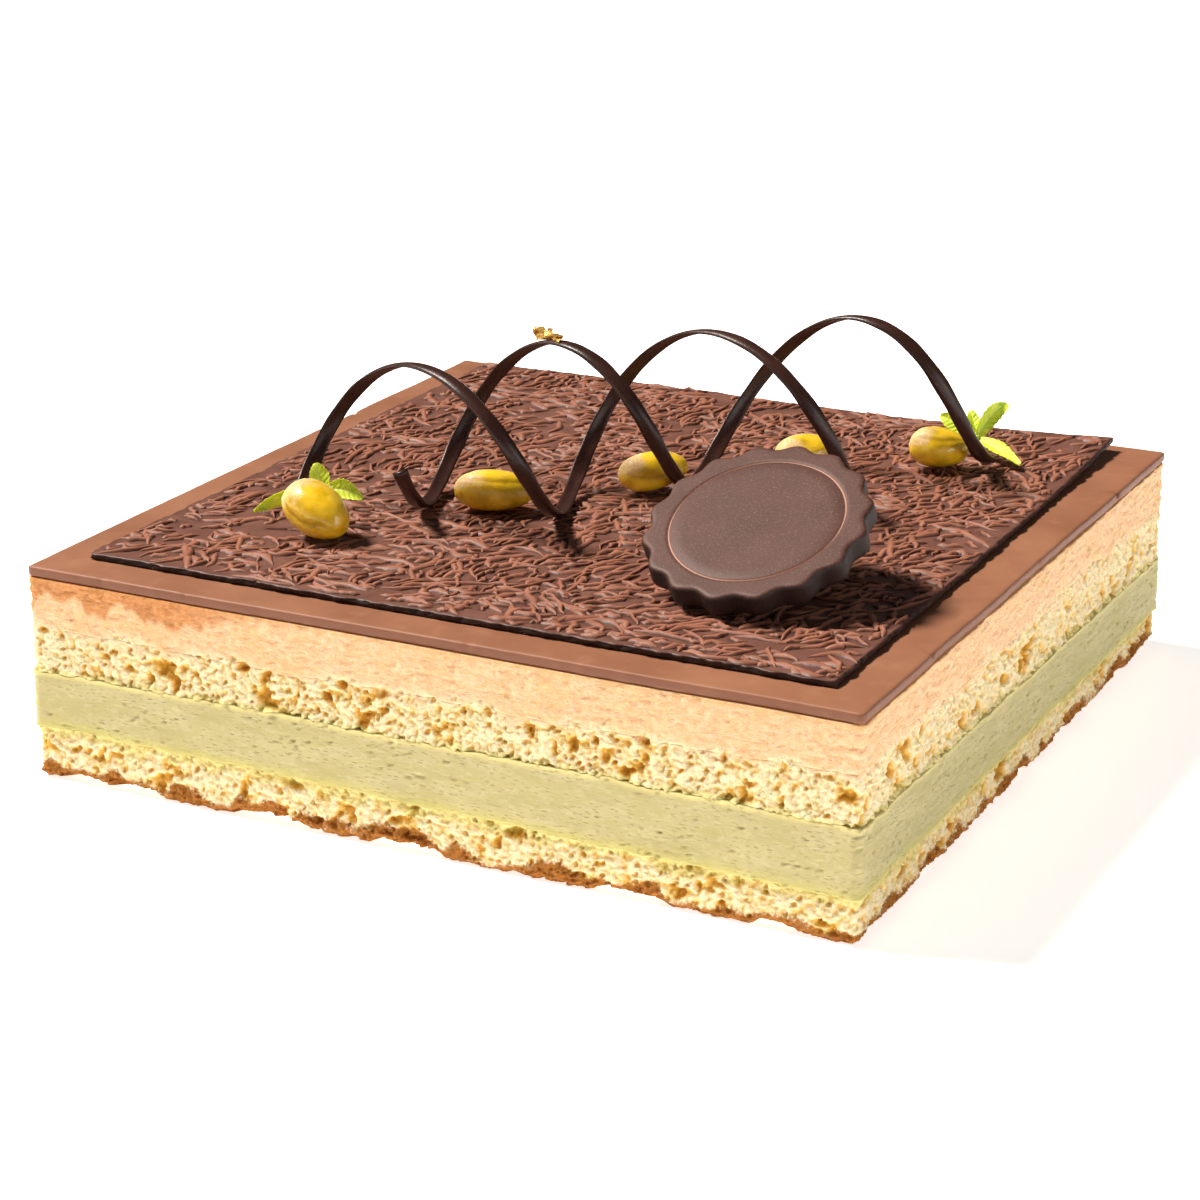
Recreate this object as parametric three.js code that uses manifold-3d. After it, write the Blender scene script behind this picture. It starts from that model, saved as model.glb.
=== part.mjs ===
// Square layered chocolate and pistachio cake.
// Two sponges and two creams under a milk chocolate plate, a textured dark chocolate sheet,
// and on the sheet two chocolate curls, pistachios, mint leaves, a medallion and a gold flake.
// Millimetres, +Z up. The origin is on the floor under the middle of the cake. +X runs along
// the front edge and +Y from the front to the back.
import * as THREE from 'three';
import { mergeVertices } from 'three/addons/utils/BufferGeometryUtils.js';
import Module from 'manifold-3d';

const wasm = await Module();
wasm.setup();

// Driving dimensions of the cake
const SIDE = 200;
const HEIGHT = 50.5;
const PLATE_THICKNESS = 2.4;
const PLATE_ROUND = 0.35;
const JOINT_GAP = 0.3;

// Heights of the layer joints at the corners: front left, front right, back right, back left.
// swell lifts the joint half way along each side: front, right, back, left.
const BASE_TOP = { corners: [13.2, 10.8, 9.6, 11.0], swell: [0.1, 0.2, 0.3, -0.2] };
const GREEN_TOP = { corners: [26.0, 26.0, 23.2, 24.4], swell: [0.7, 0.0, 0.4, 0.3] };
const CRUMB_TOP = { corners: [36.7, 37.2, 36.6, 36.4], swell: [-0.4, 0.2, 0.3, 0.0] };
const JOINT_WAVE = 0.35;

// How far each layer's side stands back from the plate's edge, or past it where less than zero,
// and the depth of its relief
const BASE_SIDE = { inset: -0.7, relief: 1.1 };
const GREEN_SIDE = { inset: -0.8, relief: 0.2 };
const CRUMB_SIDE = { inset: -0.6, relief: 1.0 };
const VANILLA_SIDE = { inset: -0.6, relief: 0.25 };
const RAGGED_FOOT = 1.6;
const EDGE_RELIEF = 0.6;
const ROW_SHIFT = 0.35;
const CAP_MARGIN = 7;
const KNOTS_PER_SIDE = 10;
const SPONGE_COLUMNS = 160;
const CREAM_COLUMNS = 80;

// Dark chocolate sheet and the raised strands of bark on it
const SHEET_SIZE = [180, 185];
const SHEET_SHIFT = 2.5;
const SHEET_TAPER = 2;
const SHEET_THICKNESS = 1.5;
const SHEET_CELLS = 8;
const SHEET_LIFT = 2.0;
const SHEET_LIFT_REACH = 60;
const STRAND_GRID = 12;
const STRAND_LENGTH = [8, 15];
const STRAND_WIDTH = [1.8, 3.0];
const STRAND_HEIGHT = [0.45, 0.75];
const STRAND_HEADING = 27;
const STRAND_SWING = 34;
const STRAND_BEND = 0.16;
const STRAND_SCATTER = 0.6;
const STRAND_MARGIN = 0.4;
const SHEET_BOTTOM = HEIGHT + JOINT_GAP;
const SHEET_TOP = SHEET_BOTTOM + SHEET_THICKNESS;
const REST_GAP = 0.05;
const REST = SHEET_TOP + STRAND_HEIGHT[1] + REST_GAP;

// Scalloped medallion, leaning back on a dab of set chocolate
const MEDAL = {
  radius: 24.6, lobe: 0.75, lobes: 16, columnsPerLobe: 5, thickness: 5.5, edge: 0.7,
  ring: 19.3, groove: 0.4, foot: [54, -45.5], lean: 25, turn: -7, spin: 6.2,
};
const DAB = {
  at: [55.5, -37], radius: 8.5, columns: 18, gap: 0.25,
  profile: [[0.92, 0], [1, 0.12], [0.9, 0.6], [0.72, 1]],
};

// Chocolate curls: ribbons wound as loose helices whose lowest points touch the sheet
const RIBBON_WIDTH = 3.5;
const RIBBON_THICKNESS = 0.9;
const RIBBON_STEP = 0.2;
const SETTLE_FROM = 2.5 * Math.PI;
const CURLS = [
  {
    name: 'chocolate_curl_front', at: [-33.5, -40.3], heading: 43, pitch: 65.9, stretch: 4.5,
    rise: 18.05, growth: 1.4, reach: [23.1, 22.2], lean: [1.5, 1.5], from: -2.5, to: 8.8,
    flick: 0, settle: 4.4,
  },
  {
    name: 'chocolate_curl_back', at: [-15.6, -6.5], heading: 41, pitch: 64.9, stretch: 6.0,
    rise: 17.9, growth: 0.8, reach: [18.3, 15.6], lean: [2.0, 3.8], from: -4.25, to: 9.15,
    flick: 3, settle: 0,
  },
];

// Pistachio kernels along the diagonal: centre, length, width, heading and pitch of the long axis
const NUTS = [
  { at: [-49.4, -59.3], length: 17.5, width: 12.6, heading: -14, pitch: -20 },
  { at: [-22.9, -23.8], length: 19.0, width: 10.0, heading: 25, pitch: -2 },
  { at: [3.1, 6.5], length: 17.0, width: 9.6, heading: 40, pitch: 6 },
  { at: [30.3, 34.9], length: 15.4, width: 10.2, heading: 38, pitch: 4 },
  { at: [56.9, 54.3], length: 14.4, width: 10.4, heading: 26, pitch: -3 },
];
const NUT_RINGS = 9;
const NUT_SIDES = 13;
const NUT_FULLNESS = 0.88;
const NUT_TAPER = 0.12;
const NUT_CREASE = { depth: 0.09, at: 1.2, spread: 0.35 };
const NUT_LUMP = 0.03;
const NUT_FLATNESS = 0.94;

// Mint sprigs, each tucked behind a nut: the node where the leaves join the stem, and each leaf's
// tip, with heights above the resting level. The leaves turn their faces to the front right.
const SPRIGS = [
  {
    name: 'mint_sprig_left', node: [-54.1, -49.0, 7.0],
    leaves: [
      { tip: [-66.9, -58.4, 2.8], width: 3.8, roll: -35, arch: 0.1 },
      { tip: [-56.4, -47.9, 13.1], width: 5.0, roll: 10, arch: 0 },
      { tip: [-45.0, -46.6, 5.9], width: 4.8, roll: -8, arch: 0.14 },
    ],
  },
  {
    name: 'mint_sprig_right', node: [61.8, 67.8, 4.5],
    leaves: [
      { tip: [51.9, 68.2, 8.9], width: 5.2, roll: -12, arch: 0.05 },
      { tip: [58.6, 71.4, 10.2], width: 3.8, roll: 12, arch: 0.03 },
      { tip: [66.6, 75.8, 11.8], width: 4.6, roll: 10, arch: 0.14 },
      { tip: [75.3, 61.4, 1.4], width: 4.2, roll: -30, arch: 0.02 },
    ],
  },
];
const SPRIG_FACING = [0.42, -0.84, 0.34];
const STEM_RADIUS = [0.75, 0.55];
const STEM_SIDES = 8;
const LEAF_THICKNESS = 0.45;
const LEAF_CELLS = [7, 4];
const LEAF_CUP = 0.9;
const LEAF_WAVE = 0.35;
const LEAF_TOOTH = 0.08;
const LEAF_ROOT = 0.12;

// Crumpled gold flake standing on the first crest of the back curl, taller at its left end
const FLAKE = {
  heights: [2.3, 3.4], thickness: 0.3, crumple: 0.5, cells: [5, 3], lift: 0.35, from: -0.02,
  to: -0.44, rise: 0.6, lean: 6, forward: 0.9,
};

const COLOURS = {
  sponge: 0xe6c882, green: 0xccc882, vanilla: 0xf0cd9b, milk: 0xbe9173, dark: 0x4a2c25,
  medallion: 0x5a3f3a, pistachio: 0xc8a514, mint: 0xaed43c, gold: 0xd8b04a,
};

const radians = THREE.MathUtils.degToRad;
const mix = THREE.MathUtils.lerp;

// Repeatable random numbers from 0 to 1
function seeded(seed) {
  let state = seed >>> 0;
  return () => {
    state = (state + 0x6d2b79f5) >>> 0;
    let t = Math.imul(state ^ (state >>> 15), 1 | state);
    t = (t + Math.imul(t ^ (t >>> 7), 61 | t)) ^ t;
    return ((t ^ (t >>> 14)) >>> 0) / 4294967296;
  };
}

function meshOf(name, geometry, colour, roughness) {
  geometry.computeVertexNormals();
  const metalness = colour === COLOURS.gold ? 1 : 0;
  const material = new THREE.MeshStandardMaterial({ color: colour, roughness, metalness });
  const mesh = new THREE.Mesh(geometry, material);
  mesh.name = name;
  return mesh;
}

function indexed(points, triangles) {
  const geometry = new THREE.BufferGeometry();
  geometry.setAttribute('position', new THREE.Float32BufferAttribute(points.flat(), 3));
  geometry.setIndex(triangles.flat());
  return geometry;
}

// A strip of triangles between two rings of equal count, the second one above or inside the first
function band(triangles, lower, upper, count) {
  for (let i = 0; i < count; i += 1) {
    const j = (i + 1) % count;
    triangles.push([lower + i, lower + j, upper + j], [lower + i, upper + j, upper + i]);
  }
}

// A fan that closes a ring on one point, facing up or down
function fan(triangles, ring, centre, count, up) {
  for (let i = 0; i < count; i += 1) {
    const j = (i + 1) % count;
    triangles.push(up ? [ring + i, ring + j, centre] : [ring + j, ring + i, centre]);
  }
}

// Point number i of count round a square with half side 1, counted from the front left corner
function squarePoint(i, count) {
  const perSide = count / 4;
  const side = Math.floor(i / perSide) % 4;
  const along = -1 + (2 * (i % perSide)) / perSide;
  return [[along, -1], [1, along], [-along, 1], [-1, -along]][side];
}

// Heights of a layer joint at its knots round the cake
function jointHeights(joint, seed) {
  const random = seeded(seed);
  const heights = [];
  for (let side = 0; side < 4; side += 1) {
    for (let k = 0; k < KNOTS_PER_SIDE; k += 1) {
      const t = k / KNOTS_PER_SIDE;
      const straight = mix(joint.corners[side], joint.corners[(side + 1) % 4], t);
      const wave = k === 0 ? 0 : (2 * random() - 1) * JOINT_WAVE;
      heights.push(straight + joint.swell[side] * 4 * t * (1 - t) + wave);
    }
  }
  return heights;
}

function flatJoint(height) {
  return new Array(4 * KNOTS_PER_SIDE).fill(height);
}

// Height of a joint at column i of count, straight between its knots
function heightAt(heights, i, count) {
  const place = (i * heights.length) / count;
  const low = Math.floor(place);
  return mix(heights[low], heights[(low + 1) % heights.length], place - low);
}

// A layer's cap: a margin that keeps the joint's heights, then a fan to the middle
function cap(points, triangles, rim, count, heights, up) {
  const knots = heights.length;
  const inner = points.length;
  const reach = SIDE / 2 - CAP_MARGIN;
  for (let k = 0; k < knots; k += 1) {
    const [x, y] = squarePoint(k, knots);
    points.push([x * reach, y * reach, heights[k]]);
  }
  const centre = points.length;
  const mean = heights.reduce((sum, height) => sum + height, 0) / knots;
  points.push([0, 0, mean]);
  const step = count / knots;
  const turn = (a, b, c) => triangles.push(up ? [a, b, c] : [b, a, c]);
  for (let k = 0; k < knots; k += 1) {
    const next = (k + 1) % knots;
    for (let s = 0; s < step; s += 1) {
      turn(rim + k * step + s, rim + ((k * step + s + 1) % count), inner + k);
    }
    turn(rim + ((next * step) % count), inner + next, inner + k);
  }
  fan(triangles, inner, centre, knots, up);
}

// One layer of the cake between two joints, its sides in rows with crags pressed into them
function layer({ below, above, columns, rows, side, seed, crag, foot = 0 }) {
  const random = seeded(seed);
  const points = [];
  const triangles = [];
  for (let row = 0; row <= rows; row += 1) {
    const v = row / rows;
    for (let i = 0; i < columns; i += 1) {
      const [x, y] = squarePoint(i, columns);
      const edgeRow = row === 0 || row === rows;
      const dent = Math.pow(random(), crag) * side.relief * 2 * (edgeRow ? EDGE_RELIEF : 1);
      const nick = foot && row === 0 ? Math.pow(random(), 2) * foot : 0;
      const half = SIDE / 2 - side.inset - dent - nick;
      const bottom = heightAt(below, i, columns) + nick;
      const top = heightAt(above, i, columns);
      const shift = edgeRow ? 0 : (random() - 0.5) * ROW_SHIFT / rows;
      points.push([x * half, y * half, mix(bottom, top, v + shift)]);
    }
  }
  for (let row = 0; row < rows; row += 1) {
    band(triangles, row * columns, (row + 1) * columns, columns);
  }
  cap(points, triangles, 0, columns, below, false);
  cap(points, triangles, rows * columns, columns, above, true);
  return indexed(points, triangles);
}

// Raises a joint so that the layer over it stays clear of the one under it
function above(heights) {
  return heights.map((height) => height + JOINT_GAP);
}

const baseTop = jointHeights(BASE_TOP, 11);
const greenTop = jointHeights(GREEN_TOP, 12);
const crumbTop = jointHeights(CRUMB_TOP, 13);
const plateBottom = HEIGHT - PLATE_THICKNESS;

function layers() {
  const base = layer({
    below: flatJoint(0), above: baseTop, columns: SPONGE_COLUMNS, rows: 4, side: BASE_SIDE,
    seed: 21, crag: 1.6, foot: RAGGED_FOOT,
  });
  const green = layer({
    below: above(baseTop), above: greenTop, columns: CREAM_COLUMNS, rows: 2, side: GREEN_SIDE,
    seed: 22, crag: 1,
  });
  const crumb = layer({
    below: above(greenTop), above: crumbTop, columns: SPONGE_COLUMNS, rows: 4, side: CRUMB_SIDE,
    seed: 23, crag: 1.8,
  });
  const vanilla = layer({
    below: above(crumbTop), above: flatJoint(plateBottom - JOINT_GAP), columns: CREAM_COLUMNS,
    rows: 2, side: VANILLA_SIDE, seed: 24, crag: 1,
  });
  return [
    meshOf('sponge_base', base, COLOURS.sponge, 0.9),
    meshOf('pistachio_cream', green, COLOURS.green, 0.7),
    meshOf('sponge_upper', crumb, COLOURS.sponge, 0.9),
    meshOf('vanilla_cream', vanilla, COLOURS.vanilla, 0.7),
  ];
}

// The milk chocolate plate, cast flat, with its edges slightly rounded off
function plate() {
  const round = PLATE_ROUND;
  const points = [];
  const triangles = [];
  const profile = [[round, 0], [0, round], [0, PLATE_THICKNESS - round], [round, PLATE_THICKNESS]];
  for (const [inset, z] of profile) {
    for (let i = 0; i < 4; i += 1) {
      const [x, y] = squarePoint(i, 4);
      points.push([x * (SIDE / 2 - inset), y * (SIDE / 2 - inset), plateBottom + z]);
    }
  }
  for (let row = 0; row < profile.length - 1; row += 1) {
    band(triangles, row * 4, (row + 1) * 4, 4);
  }
  triangles.push([1, 0, 2], [2, 0, 3]);
  const top = 4 * (profile.length - 1);
  triangles.push([top, top + 1, top + 2], [top, top + 2, top + 3]);
  return meshOf('milk_chocolate_plate', indexed(points, triangles), COLOURS.milk, 0.45);
}

// A place on the flat sheet, taken to where it lies on the plate: towards the back, a little
// narrower there, with the back right corner curled up
function onSheet(x, y, height) {
  const [width, depth] = SHEET_SIZE;
  const right = x / width + 0.5;
  const back = y / depth + 0.5;
  const fromCorner = Math.hypot((1 - right) * width, (1 - back) * depth);
  const curled = Math.max(0, 1 - fromCorner / SHEET_LIFT_REACH);
  return [x - SHEET_TAPER * right * back, y + SHEET_SHIFT, height + SHEET_LIFT * curled ** 2];
}

function asSolid(geometry) {
  const bare = geometry.clone();
  bare.deleteAttribute('normal');
  bare.deleteAttribute('uv');
  const merged = mergeVertices(bare, 1e-4);
  const vertProperties = Float32Array.from(merged.attributes.position.array);
  const triVerts = Uint32Array.from(merged.index.array);
  return new wasm.Manifold(new wasm.Mesh({ numProp: 3, vertProperties, triVerts }));
}

function fromSolid(solid) {
  const { vertProperties, triVerts } = solid.getMesh();
  const geometry = new THREE.BufferGeometry();
  geometry.setAttribute('position', new THREE.Float32BufferAttribute(vertProperties, 3));
  geometry.setIndex(Array.from(triVerts));
  return geometry;
}

// One strand of bark: a low bent roof with pointed ends, its base sunk in the sheet
function strand(random, x, y) {
  const length = mix(...STRAND_LENGTH, random());
  const width = mix(...STRAND_WIDTH, random());
  const height = mix(...STRAND_HEIGHT, random());
  const heading = radians(STRAND_HEADING + (2 * random() - 1) * STRAND_SWING);
  const bend = (2 * random() - 1) * STRAND_BEND * length;
  const sunk = SHEET_THICKNESS / 2;
  const [limitX, limitY] = SHEET_SIZE.map((size) => size / 2 - STRAND_MARGIN);
  const place = (along, across, up) => {
    const px = x + along * Math.cos(heading) - across * Math.sin(heading);
    const py = y + along * Math.sin(heading) + across * Math.cos(heading);
    const cx = THREE.MathUtils.clamp(px, -limitX, limitX);
    const cy = THREE.MathUtils.clamp(py, -limitY, limitY);
    return onSheet(cx, cy, SHEET_TOP + up);
  };
  const points = [];
  for (const [along, breadth, rise] of [[-0.5, 0.35, 0.1], [0, 1, 1], [0.5, 0.35, 0.1]]) {
    const across = along === 0 ? bend : 0;
    const half = (width * breadth) / 2;
    points.push(place(along * length, across - half, -sunk));
    points.push(place(along * length, across + half, -sunk));
    points.push(place(along * length, across, height * rise));
  }
  const triangles = [[0, 2, 1], [6, 7, 8]];
  for (const a of [0, 3]) {
    const b = a + 3;
    triangles.push([a, b, b + 2], [a, b + 2, a + 2]);
    triangles.push([a + 1, a + 2, b + 2], [a + 1, b + 2, b + 1]);
    triangles.push([a, a + 1, b + 1], [a, b + 1, b]);
  }
  return indexed(points, triangles);
}

function sheet() {
  const [width, depth] = SHEET_SIZE;
  const slab = new THREE.BoxGeometry(width, depth, SHEET_THICKNESS, SHEET_CELLS, SHEET_CELLS, 1);
  const place = slab.attributes.position;
  const middle = (SHEET_BOTTOM + SHEET_TOP) / 2;
  for (let i = 0; i < place.count; i += 1) {
    place.setXYZ(i, ...onSheet(place.getX(i), place.getY(i), middle + place.getZ(i)));
  }
  const random = seeded(31);
  let solid = asSolid(slab);
  for (let row = 0; row < STRAND_GRID; row += 1) {
    for (let column = 0; column < STRAND_GRID; column += 1) {
      const across = (column + 0.5 + STRAND_SCATTER * (random() - 0.5)) / STRAND_GRID;
      const along = (row + 0.5 + STRAND_SCATTER * (random() - 0.5)) / STRAND_GRID;
      solid = solid.add(asSolid(strand(random, (across - 0.5) * width, (along - 0.5) * depth)));
    }
  }
  return meshOf('dark_chocolate_sheet', fromSolid(solid), COLOURS.dark, 0.45);
}

// Outline of the medallion, with rounded scallops
function scallop(angle, inset) {
  const radius = MEDAL.radius + MEDAL.lobe * Math.cos(MEDAL.lobes * angle) - inset;
  return [radius * Math.cos(angle), radius * Math.sin(angle)];
}

// Distance of the medallion's underside centre above the sheet when its low edge touches
function medalFoot() {
  const lowEdge = (MEDAL.radius + MEDAL.lobe - MEDAL.edge) * Math.sin(radians(MEDAL.lean));
  return REST + lowEdge;
}

function medallion() {
  const columns = MEDAL.lobes * MEDAL.columnsPerLobe;
  const ringColumns = columns / 2;
  const points = [];
  const triangles = [];
  const { thickness, edge, ring, groove } = MEDAL;
  for (const [inset, z] of [[edge, 0], [0, edge], [0, thickness - edge], [edge, thickness]]) {
    for (let i = 0; i < columns; i += 1) {
      points.push([...scallop((2 * Math.PI * i) / columns, inset), z]);
    }
  }
  for (let row = 0; row < 3; row += 1) {
    band(triangles, row * columns, (row + 1) * columns, columns);
  }
  const rings = [[ring + groove, thickness], [ring, thickness - groove], [ring - groove, thickness]];
  const firstRing = points.length;
  for (const [radius, z] of rings) {
    for (let i = 0; i < ringColumns; i += 1) {
      const angle = (2 * Math.PI * i) / ringColumns;
      points.push([radius * Math.cos(angle), radius * Math.sin(angle), z]);
    }
  }
  const rim = 3 * columns;
  for (let i = 0; i < ringColumns; i += 1) {
    const next = (i + 1) % ringColumns;
    const middle = rim + 2 * i + 1;
    triangles.push([rim + 2 * i, middle, firstRing + i]);
    triangles.push([middle, rim + ((2 * i + 2) % columns), firstRing + next]);
    triangles.push([middle, firstRing + next, firstRing + i]);
  }
  band(triangles, firstRing, firstRing + ringColumns, ringColumns);
  band(triangles, firstRing + ringColumns, firstRing + 2 * ringColumns, ringColumns);
  const topCentre = points.length;
  points.push([0, 0, thickness], [0, 0, 0]);
  fan(triangles, firstRing + 2 * ringColumns, topCentre, ringColumns, true);
  fan(triangles, 0, topCentre + 1, columns, false);
  const geometry = indexed(points, triangles).rotateZ(radians(MEDAL.spin));
  const mesh = meshOf('chocolate_medallion', geometry, COLOURS.medallion, 0.4);
  mesh.position.set(...MEDAL.foot, medalFoot());
  mesh.rotation.set(radians(MEDAL.lean), 0, radians(MEDAL.turn), 'ZXY');
  return mesh;
}

// The dab of set chocolate under the medallion, its top slanted to the medallion's underside
function dab() {
  const normal = new THREE.Vector3(0, 0, 1);
  normal.applyEuler(new THREE.Euler(radians(MEDAL.lean), 0, radians(MEDAL.turn), 'ZXY'));
  const underside = (x, y) => {
    const drop = normal.x * (x - MEDAL.foot[0]) + normal.y * (y - MEDAL.foot[1]);
    return medalFoot() - drop / normal.z - DAB.gap;
  };
  const points = [];
  const triangles = [];
  const { radius, columns } = DAB;
  for (const [scale, share] of DAB.profile) {
    for (let i = 0; i < columns; i += 1) {
      const angle = (2 * Math.PI * i) / columns;
      const x = DAB.at[0] + radius * scale * Math.cos(angle);
      const y = DAB.at[1] + radius * scale * Math.sin(angle);
      points.push([x, y, mix(REST, underside(x, y), share)]);
    }
  }
  for (let row = 0; row < 3; row += 1) {
    band(triangles, row * columns, (row + 1) * columns, columns);
  }
  const centre = points.length;
  points.push([...DAB.at, underside(...DAB.at)], [...DAB.at, REST]);
  fan(triangles, 3 * columns, centre, columns, true);
  fan(triangles, 0, centre + 1, columns, false);
  return meshOf('chocolate_dab', indexed(points, triangles), COLOURS.dark, 0.4);
}

// Middle of a curl's ribbon at angle t, counted from its first crest
function curlPoint(curl, t) {
  const turns = t / (2 * Math.PI);
  const heading = radians(curl.heading);
  const along = curl.pitch * turns + curl.stretch * turns * turns
    + (mix(...curl.lean, turns) * (Math.cos(t) + 1)) / 2;
  const across = -mix(...curl.reach, turns) * Math.sin(t);
  const flick = curl.flick * Math.max(0, -Math.PI - t) ** 2;
  const settle = curl.settle * Math.max(0, t - SETTLE_FROM) ** 2;
  const up = (curl.rise + curl.growth * turns) * (1 + Math.cos(t)) + flick - settle;
  return new THREE.Vector3(
    curl.at[0] + along * Math.cos(heading) - across * Math.sin(heading),
    curl.at[1] + along * Math.sin(heading) + across * Math.cos(heading),
    REST + RIBBON_THICKNESS / 2 + up,
  );
}

// Directions of the ribbon at angle t: along it, across its width and through its thickness
function curlFrame(curl, t) {
  const along = curlPoint(curl, t + 0.01).sub(curlPoint(curl, t - 0.01)).normalize();
  const heading = radians(curl.heading);
  const axis = new THREE.Vector3(Math.cos(heading), Math.sin(heading), 0);
  const width = axis.clone().addScaledVector(along, -axis.dot(along)).normalize();
  const through = new THREE.Vector3().crossVectors(width, along).normalize();
  return { along, width, through };
}

function curl(shape) {
  const steps = Math.round((shape.to - shape.from) / RIBBON_STEP);
  const points = [];
  const triangles = [];
  for (let step = 0; step <= steps; step += 1) {
    const t = mix(shape.from, shape.to, step / steps);
    const middle = curlPoint(shape, t);
    const { width, through } = curlFrame(shape, t);
    for (const [w, h] of [[-0.5, -0.5], [0.5, -0.5], [0.5, 0.5], [-0.5, 0.5]]) {
      const corner = middle.clone().addScaledVector(width, w * RIBBON_WIDTH);
      corner.addScaledVector(through, h * RIBBON_THICKNESS);
      points.push(corner.toArray());
    }
  }
  for (let step = 0; step < steps; step += 1) {
    band(triangles, step * 4, step * 4 + 4, 4);
  }
  const last = steps * 4;
  triangles.push([0, 2, 1], [0, 3, 2]);
  triangles.push([last, last + 1, last + 2], [last, last + 2, last + 3]);
  return meshOf(shape.name, outward(indexed(points, triangles)), COLOURS.dark, 0.4);
}

// Turns a closed mesh's faces out where its volume comes out negative
function outward(geometry) {
  const place = geometry.attributes.position;
  const index = geometry.index.array;
  const corner = (i) => new THREE.Vector3().fromBufferAttribute(place, index[i]);
  let volume = 0;
  for (let i = 0; i < index.length; i += 3) {
    volume += corner(i).dot(corner(i + 1).cross(corner(i + 2)));
  }
  if (volume < 0) {
    for (let i = 0; i < index.length; i += 3) {
      [index[i + 1], index[i + 2]] = [index[i + 2], index[i + 1]];
    }
  }
  return geometry;
}

// A shelled pistachio: an egg with one blunter end and a shallow crease along its upper side
function nut(shape, number) {
  const points = [[-shape.length / 2, 0, 0]];
  const triangles = [];
  for (let ring = 1; ring <= NUT_RINGS; ring += 1) {
    const angle = (Math.PI * ring) / (NUT_RINGS + 1);
    const x = -Math.cos(angle);
    const girth = Math.sin(angle) ** NUT_FULLNESS * (1 - NUT_TAPER * x) * (shape.width / 2);
    for (let side = 0; side < NUT_SIDES; side += 1) {
      const around = (2 * Math.PI * side) / NUT_SIDES;
      const off = (around - NUT_CREASE.at) / NUT_CREASE.spread;
      const crease = 1 - NUT_CREASE.depth * Math.exp(-(off ** 2));
      const lump = 1 + NUT_LUMP * Math.sin(3 * around + 2 * x + number);
      const radius = girth * crease * lump;
      const up = NUT_FLATNESS * radius * Math.sin(around);
      points.push([(x * shape.length) / 2, radius * Math.cos(around), up]);
    }
  }
  points.push([shape.length / 2, 0, 0]);
  const end = points.length - 1;
  for (let ring = 0; ring < NUT_RINGS - 1; ring += 1) {
    band(triangles, 1 + ring * NUT_SIDES, 1 + (ring + 1) * NUT_SIDES, NUT_SIDES);
  }
  fan(triangles, 1, 0, NUT_SIDES, false);
  fan(triangles, 1 + (NUT_RINGS - 1) * NUT_SIDES, end, NUT_SIDES, true);
  const geometry = outward(indexed(points, triangles));
  geometry.rotateY(radians(-shape.pitch));
  geometry.rotateZ(radians(shape.heading));
  geometry.computeBoundingBox();
  const lift = REST - geometry.boundingBox.min.z;
  geometry.translate(...shape.at, lift);
  return meshOf(`pistachio_${number}`, geometry, COLOURS.pistachio, 0.35);
}

// A thin closed solid from a grid of middle points, thickened both ways along a direction
function thinSolid(cells, thickness, surface, direction) {
  const [columns, rows] = cells;
  const points = [];
  const triangles = [];
  for (const face of [0.5, -0.5]) {
    for (let i = 0; i <= columns; i += 1) {
      for (let j = 0; j <= rows; j += 1) {
        const place = surface(i / columns, (2 * j) / rows - 1);
        points.push(place.addScaledVector(direction, face * thickness).toArray());
      }
    }
  }
  const stride = rows + 1;
  const faceCount = (columns + 1) * stride;
  for (let i = 0; i < columns; i += 1) {
    for (let j = 0; j < rows; j += 1) {
      const a = i * stride + j;
      const b = a + stride;
      triangles.push([a, b, b + 1], [a, b + 1, a + 1]);
      triangles.push([faceCount + a, faceCount + b + 1, faceCount + b]);
      triangles.push([faceCount + a, faceCount + a + 1, faceCount + b + 1]);
    }
  }
  const rim = [];
  for (let i = 0; i < columns; i += 1) rim.push(i * stride);
  for (let j = 0; j < rows; j += 1) rim.push(columns * stride + j);
  for (let i = columns; i > 0; i -= 1) rim.push(i * stride + rows);
  for (let j = rows; j > 0; j -= 1) rim.push(j);
  rim.forEach((a, k) => {
    const b = rim[(k + 1) % rim.length];
    triangles.push([a, faceCount + a, faceCount + b], [a, faceCount + b, b]);
  });
  return outward(indexed(points, triangles));
}

// A mint leaf: pointed at both ends, cupped along its middle vein, with wavy toothed sides
function leaf(stem, shape, number) {
  const tip = raised(shape.tip);
  const along = tip.sub(stem);
  const length = along.length();
  along.normalize();
  const across = new THREE.Vector3(...SPRIG_FACING).cross(along).normalize();
  across.applyAxisAngle(along, radians(shape.roll));
  const normal = new THREE.Vector3().crossVectors(along, across).normalize();
  const up = new THREE.Vector3(0, 0, 1);
  const surface = (u, v) => {
    const swell = Math.sin(Math.PI * (0.06 + 0.92 * u)) ** 0.8;
    const breadth = mix(LEAF_ROOT, 1, swell);
    const tooth = 1 + LEAF_TOOTH * Math.cos(Math.PI * LEAF_CELLS[0] * u);
    const half = (shape.width / 2) * breadth * tooth;
    const arch = shape.arch * length * Math.sin(Math.PI * u);
    const cup = LEAF_CUP * (v * v * breadth - 0.5);
    const wave = LEAF_WAVE * v * u * Math.sin(9 * u + number);
    return stem.clone().addScaledVector(along, u * length).addScaledVector(across, v * half)
      .addScaledVector(normal, cup + wave).addScaledVector(up, arch);
  };
  return thinSolid(LEAF_CELLS, LEAF_THICKNESS, surface, normal);
}

function raised([x, y, height]) {
  return new THREE.Vector3(x, y, REST + height);
}

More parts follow.
